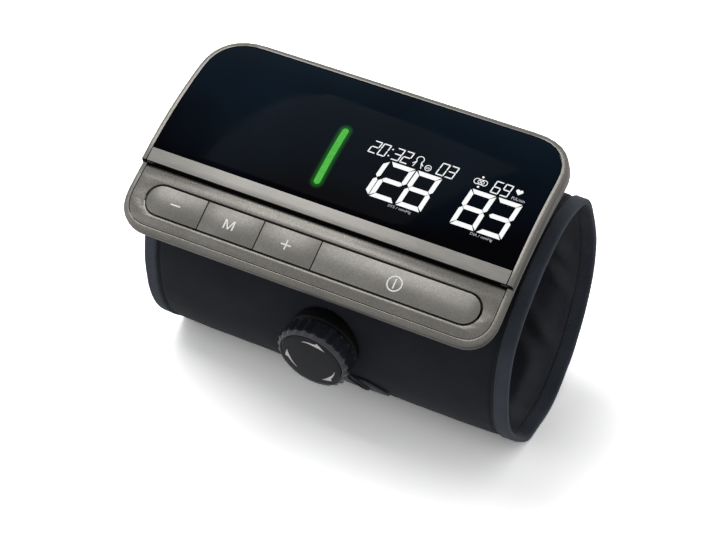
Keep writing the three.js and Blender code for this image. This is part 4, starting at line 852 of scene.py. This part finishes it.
folds = lining_folds()
lining_cloth = woven("lining_cloth", srgb(58, 60, 69), srgb(22, 23, 28), 0.4, 0.55, 0.5, 0.12)
lining_rows = [(x, lining_inset(x, lift, True)) for x, lift in zip(stations, folds)]
lining_rows += [(x, lining_inset(x, lift, False)) for x, lift in zip(stations[::-1], folds[::-1])]
lining = wrapped_grid("lining", lining_rows, LINING_AROUND, lining_cloth)
stand_in(lining, "inner_liner")


# Bindings: a blue-grey woven tape folded flat round each end of the cuff and sewn down through
# all the layers, about five millimetres wide outside and inside.

binding_tape = woven("binding_tape", srgb(76, 82, 93), srgb(54, 59, 68), 0.7, 0.85, 0.5, 0.1, rib=(0.35, 1.0))
BINDING_AROUND = 360


def binding(side, name, node):
    """One tape, from the middle of its rolled edge over its inside, round its root and back."""
    outside, inside, root, end, roll, sag = 0.4, 2.75, 70.2, 75.7, 1.25, 0.06
    face = end - roll - root
    profile = []
    for i in range(19):
        angle = (i / 18 - 0.5) * math.pi
        across = (inside - outside) / 2 * np.sign(math.sin(angle)) * abs(math.sin(angle)) ** 0.75
        profile.append((end - roll + roll * math.cos(angle) ** 0.75, (outside + inside) / 2 + across))
    for x in np.linspace(end - roll, root + 0.4, 9)[1:]:
        profile.append((x, inside - sag * math.sin((x - root) / face * math.pi)))
    profile += [(root + 0.1, inside + 0.12), (root, inside - 0.3), (root, outside + 0.9),
                (root + 0.1, outside + 0.25)]
    for x in np.linspace(root + 0.4, end - roll, 9)[:-1]:
        profile.append((x, outside - sag * math.sin((x - root) / face * math.pi)))
    shares = even_shares(BINDING_AROUND)
    drawn_in = np.minimum(0.12 * soft_noise(side * 40.0, shares, 9.0, 3.3), 0)
    rows = [(side * (x + drawn_in), inset + 0.10 * soft_noise(side * 55.0 + row * 0.2, shares, 7.0, 6.6))
            for row, (x, inset) in enumerate(profile)]
    stand_in(wrapped_grid(name, rows, BINDING_AROUND, binding_tape), node)


binding(-1, "left_tape", "left_binding")
binding(1, "right_tape", "right_binding")


# Stitching: a row of short lock stitches in dark thread along each edge of both bindings,
# pulled a little into the tape. They follow the tape all the way round.

def growing_tree(name, sizes, shape):
    """A node tree with a start mesh, named sizes and a material as its inputs. Shape adds what
    differs and gives back the geometry, which is then made real, smooth and coloured."""
    tree = bpy.data.node_groups.new(name, "GeometryNodeTree")
    socket = tree.interface.new_socket
    socket("Start", in_out="INPUT", socket_type="NodeSocketGeometry")
    for label, size in sizes.items():
        socket(label, in_out="INPUT", socket_type="NodeSocketFloat").default_value = size
    material = socket("Material", in_out="INPUT", socket_type="NodeSocketMaterial")
    socket("Shape", in_out="OUTPUT", socket_type="NodeSocketGeometry")
    add, give, calc = node_kit(tree)
    given = add("NodeGroupInput").outputs
    real = add("GeometryNodeRealizeInstances", Geometry=shape(add, calc, given))
    shade = add("GeometryNodeSetShadeSmooth", Geometry=real)
    add("NodeGroupOutput", Shape=add("GeometryNodeSetMaterial", Geometry=shade, Material=given["Material"]))
    return tree, material.identifier


def grown(tree, inputs, start, name):
    """The plain mesh that a node tree grows from a start mesh, with its inputs set by identifier."""
    holder = placed(name, start)
    grow = holder.modifiers.new("grow", "NODES")
    grow.node_group = tree
    for identifier, value in inputs.items():
        grow[identifier] = value
    mesh = plain_mesh(holder)
    holder.modifiers.clear()
    bpy.data.objects.remove(holder)
    mesh.name = name
    return placed(name, mesh)


def stitch_row(add, calc, given):
    """Stitches along a line of edges: one small oval per pitch, turned along the line."""
    line = add("GeometryNodeMeshToCurve", Mesh=given["Start"])
    points = add("GeometryNodeCurveToPoints", {"mode": "LENGTH"}, Curve=line, Length=given["Pitch"])
    oval = add("GeometryNodeMeshIcoSphere", Radius=0.5, Subdivisions=2)
    size = add("CombineXYZ", X=given["Thread"], Y=given["Thread"], Z=given["Stitch length"])
    return add("GeometryNodeInstanceOnPoints", Points=points, Instance=oval, Scale=size,
               Rotation=points.outputs["Rotation"])


stitch_sizes = {"Pitch": 2.2 * MM, "Stitch length": 1.5 * MM, "Thread": 0.26 * MM}
stitches, stitch_thread = growing_tree("stitch_row", stitch_sizes, stitch_row)
dark_thread = grained("dark_thread", srgb(52, 55, 62), srgb(34, 36, 42), 0.7, 0.15, bump=0.3)
SEAM_POINTS = 240
for name, x, inset in (("left_seam_outside", -71.0, 0.35), ("left_seam_inside", -71.2, 2.8),
                       ("right_seam_outside", 71.0, 0.35), ("right_seam_inside", 71.2, 2.8)):
    loop = bpy.data.meshes.new(name + "_line")
    edges = [(i, (i + 1) % SEAM_POINTS) for i in range(SEAM_POINTS)]
    loop.from_pydata([tuple(v) for v in ring(x, inset, SEAM_POINTS) * MM], edges, [])
    seam = grown(stitches, {stitch_thread: dark_thread}, loop, name)
    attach(seam, "monitor")


# Lace and its tab: a thin coated steel lace runs out of the knob's base, through an eye on a
# small grey woven tab that lies on the sleeve, and back. It takes up the cuff's girth.

def cloth_copy(node, name, material):
    """A merged, smooth copy of a CAD node with a UV map in metres across the cuff and upwards."""
    piece = tidy_copy(node, name, material, crease=50)
    layer = piece.data.uv_layers.new(name="cloth")
    for loop in piece.data.loops:
        place = piece.data.vertices[loop.vertex_index].co
        layer.data[loop.index].uv = (place.x, place.z)


tab_tape = woven("tab_tape", srgb(88, 92, 98), srgb(62, 66, 72), 0.6, 0.75, 0.5, 0.1, rib=(1.0, 0.5))
cloth_copy("lace_tab", "tab", tab_tape)
lace_coat = woven("lace_coat", srgb(58, 60, 66), srgb(30, 31, 36), 0.35, 0.55, 0.5, 0.0)
cloth_copy("tension_lace", "lace_loop", lace_coat)


# Knob base: a low round housing moulded in black plastic, riveted to the cuff, that holds the
# spool and the ratchet. The spool, pawls and ratchet inside are moulded acetal.

# The grip's blue-grey edges are a painted highlight, the glint on its scallops, with some wear.
knob_black = grained("knob_black", srgb(46, 50, 59), srgb(30, 33, 40), 0.3, 0.3, bump=0.12,
                     wear_and_highlight=srgb(80, 88, 100), edge_band_mm=0.4)
# The base is near black: black plastic, made darker as painted shade for the gap under the knob.
base_black_painted_shade = grained("base_black_painted_shade", srgb(12, 12, 15), srgb(8, 8, 10), 0.6, 0.3, bump=0.15, specular=0.15)
acetal = grained("acetal", srgb(214, 214, 210), srgb(196, 196, 192), 0.4, 0.4)
tidy_copy("knob_base", "base_disc", base_black_painted_shade, 0.3)
dress(acetal, "lace_spool", "ratchet_ring", "pawl_disc")


# Knob: a round cap with a scalloped grip, moulded in black plastic, with a flat disc clipped
# into its face. The disc has a low raised rim and three arrows that show which way it winds.

KNOB_AXIS_ANGLE = math.pi / 2 + 0.155
RING_MIDDLE, WHEEL_BOTTOM, FACE_PROUD = 4.3, 3.7, 1.5
RIBS, STEPS_PER_RIB = 24, 14
low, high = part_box("ratchet_ring")
turned = Matrix.Rotation(KNOB_AXIS_ANGLE, 4, "X")
outward = turned.to_3x3() @ Vector((0, 0, MM))
knob_place = Matrix.Translation((low + high) / 2 - outward * RING_MIDDLE) @ turned


def ribbed_wheel(add, calc, given):
    """A wheel from a flat grid: one way runs round it, the other along its profile, which two
    curves give as radius and height. A third says where the scallops of the grip are deep."""
    grid = add("GeometryNodeMeshGrid", Size_X=1, Size_Y=1, Vertices_X=RIBS * STEPS_PER_RIB + 1, Vertices_Y=97)
    parts = add("SeparateXYZ", Vector=add("GeometryNodeInputPosition")).outputs
    angle = calc("MULTIPLY", calc("ADD", parts["X"], 0.5), 2 * math.pi)
    along = calc("ADD", parts["Y"], 0.5)

    def profile(label, points):
        node = add("FloatCurve", {"label": label}, Value=along)
        curve = node.mapping.curves[0]
        while len(curve.points) < len(points):
            curve.points.new(0.5, 0.5)
        for point, place in zip(curve.points, points):
            point.location = place
            point.handle_type = "VECTOR"
        node.mapping.update()
        return node

    reach = profile("radius along the profile", [
        (0, 0), (0.12, 0.84), (0.13, 0.86), (0.2, 0.965), (0.24, 0.985), (0.5, 1.0), (0.58, 0.99),
        (0.68, 0.905), (0.7, 0.89), (0.74, 0.865), (0.76, 0.85), (1, 0)])
    rise = profile("height along the profile", [
        (0, 0.0), (0.12, 0.0), (0.2, 0.02), (0.24, 0.09), (0.5, 0.76), (0.58, 0.86), (0.68, 0.985),
        (0.7, 1.0), (0.74, 1.0), (0.76, 0.93), (0.78, 0.9), (1, 0.9)])
    grip = profile("depth of the grip", [
        (0, 0), (0.18, 0), (0.24, 0.9), (0.5, 1), (0.62, 0.9), (0.68, 0.25), (0.7, 0.0), (1, 0)])
    wave = calc("COSINE", calc("MULTIPLY", angle, given["Rib count"]))
    scallop = calc("POWER", calc("MULTIPLY_ADD", wave, 0.5, 0.5), 0.7)
    cut = calc("MULTIPLY", calc("MULTIPLY", scallop, grip), given["Rib depth"])
    radius = calc("SUBTRACT", calc("MULTIPLY", reach, given["Radius"]), cut)
    place = add("CombineXYZ", X=calc("MULTIPLY", radius, calc("COSINE", angle)),
                Y=calc("MULTIPLY", radius, calc("SINE", angle)), Z=calc("MULTIPLY", rise, given["Height"]))
    bend = add("GeometryNodeSetPosition", Geometry=grid, Position=place)
    return add("GeometryNodeMergeByDistance", Geometry=bend, Distance=0.002 * MM)


wheel_sizes = {"Radius": 14.8 * MM, "Height": 7.7 * MM, "Rib count": float(RIBS), "Rib depth": 0.75 * MM}
wheel_tree, wheel_plastic = growing_tree("ribbed_wheel", wheel_sizes, ribbed_wheel)
grip_wheel = grown(wheel_tree, {wheel_plastic: knob_black}, bpy.data.meshes.new("wheel_start"), "grip_wheel")
grip_wheel.data.transform(knob_place @ Matrix.Translation((0, 0, WHEEL_BOTTOM * MM)))
face_outward(grip_wheel.data)
grip_wheel.data.set_sharp_from_angle(angle=math.radians(40))
stand_in(grip_wheel, "tightening_knob")
face_black = grained("face_black", srgb(26, 27, 32), srgb(19, 20, 25), 0.55, 0.25, bump=0.12, specular=0.2)
face_disc = tidy_copy("knob_cap", "face_disc", face_black, 0.2)
face_disc.data.transform(Matrix.Translation(outward * FACE_PROUD))
DISC_RADIUS, DISC_EDGE, DISC_CROWN = 12.2, 9.7, 0.5


def on_knob(a, b, lift):
    """A point of the knob's face, A to the right and B up, on the crown of its disc."""
    away = math.hypot(a, b) / DISC_RADIUS
    crown = DISC_EDGE + FACE_PROUD + DISC_CROWN * (1 - away**1.6)
    return knob_place @ (Vector((a, b, crown + lift)) * MM)


# One arrow as angles in degrees and distances from the middle.
arrow = [(107, 9.75), (101, 9.85), (95, 9.95), (89, 10.05), (83, 10.15), (78, 10.3), (75, 10.6), (73, 11.35),
         (66, 10.8), (59, 10.35), (52, 10.0), (58, 9.75), (65, 9.5), (72, 9.35), (79, 9.3), (86, 9.35),
         (93, 9.45), (100, 9.55), (107, 9.62)]
arrows = [[(r * math.cos(math.radians(a - turn)), r * math.sin(math.radians(a - turn))) for a, r in arrow]
          for turn in (0, 120, 240)]
flat_marks("winding_arrows", arrows, on_knob, white_ink, "knob", low=-0.06, high=0.14, strip=1.5)


# The studio: a white sweep under plain soft light. The floor and the world are white to the
# camera and in reflections, and the floor keeps the object's shadow.

FLOOR_GAIN = 2.2
world = bpy.data.worlds.new("studio_air")
bpy.context.scene.world = world
world.use_nodes = True
add, give, calc = node_kit(world.node_tree)
rays = add("LightPath").outputs
mirrored = calc("MAXIMUM", rays["Is Glossy Ray"], rays["Is Transmission Ray"])
level = add("MapRange", Value=calc("MAXIMUM", rays["Is Camera Ray"], mirrored), To_Min=0.5, To_Max=1.0)
give(world.node_tree.nodes["Background"], Color=(1, 1, 1, 1), Strength=level)

floor_mesh = bpy.data.meshes.new("floor")
floor_mesh.from_pydata([(-6, -6, 0), (6, -6, 0), (6, 6, 0), (-6, 6, 0)], [], [(0, 1, 2, 3)])
floor = placed("floor", floor_mesh)
paper, shader, add, give, calc = blank_material("white_sweep")
rays = add("LightPath").outputs
mirrored = calc("MAXIMUM", rays["Is Glossy Ray"], rays["Is Transmission Ray"])
give(shader, Base_Color=(0.5, 0.5, 0.5, 1), Roughness=0.9, Specular_IOR_Level=0.0,
     Emission_Color=(1, 1, 1, 1), Emission_Strength=calc("MULTIPLY", mirrored, 0.5))
seen_paper = add("BsdfDiffuse", Color=(FLOOR_GAIN, FLOOR_GAIN, FLOOR_GAIN, 1))
seen_mix = add("MixShader", _0=rays["Is Camera Ray"], _1=shader, _2=seen_paper)
give(paper.node_tree.nodes["Material Output"], Surface=seen_mix)
floor_mesh.materials.append(paper)


def softbox(name, place, size, watts):
    """A soft lamp that faces the middle of the object."""
    lamp = bpy.data.lights.new(name, "AREA")
    lamp.shape = "RECTANGLE"
    lamp.size, lamp.size_y = size
    lamp.energy = watts
    holder = placed(name, lamp)
    holder.location = place
    holder.rotation_euler = (Vector((0, 0, 0.05)) - Vector(place)).to_track_quat("-Z", "Y").to_euler()


softbox("top_box", (-0.38, 0.12, 1.0), (0.8, 0.6), 5.0)
softbox("left_box", (-1.1, -0.8, 0.7), (0.6, 0.8), 1.1)


# The camera stands to the right of the front, above the object, as in the photograph.

lens = bpy.data.cameras.new("camera")
lens.sensor_width = 36
lens.lens = 110.5
camera = placed("camera", lens)
right, up, back = (0.88037, 0.47429, 0), (-0.31272, 0.58047, 0.75184), (0.35659, -0.6619, 0.65934)
spot = (0.29177, -0.541765, 0.58959)
camera.matrix_world = Matrix([*zip(right, up, back, spot), (0, 0, 0, 1)])
bpy.context.scene.camera = camera
bpy.context.scene.view_settings.view_transform = "Standard"
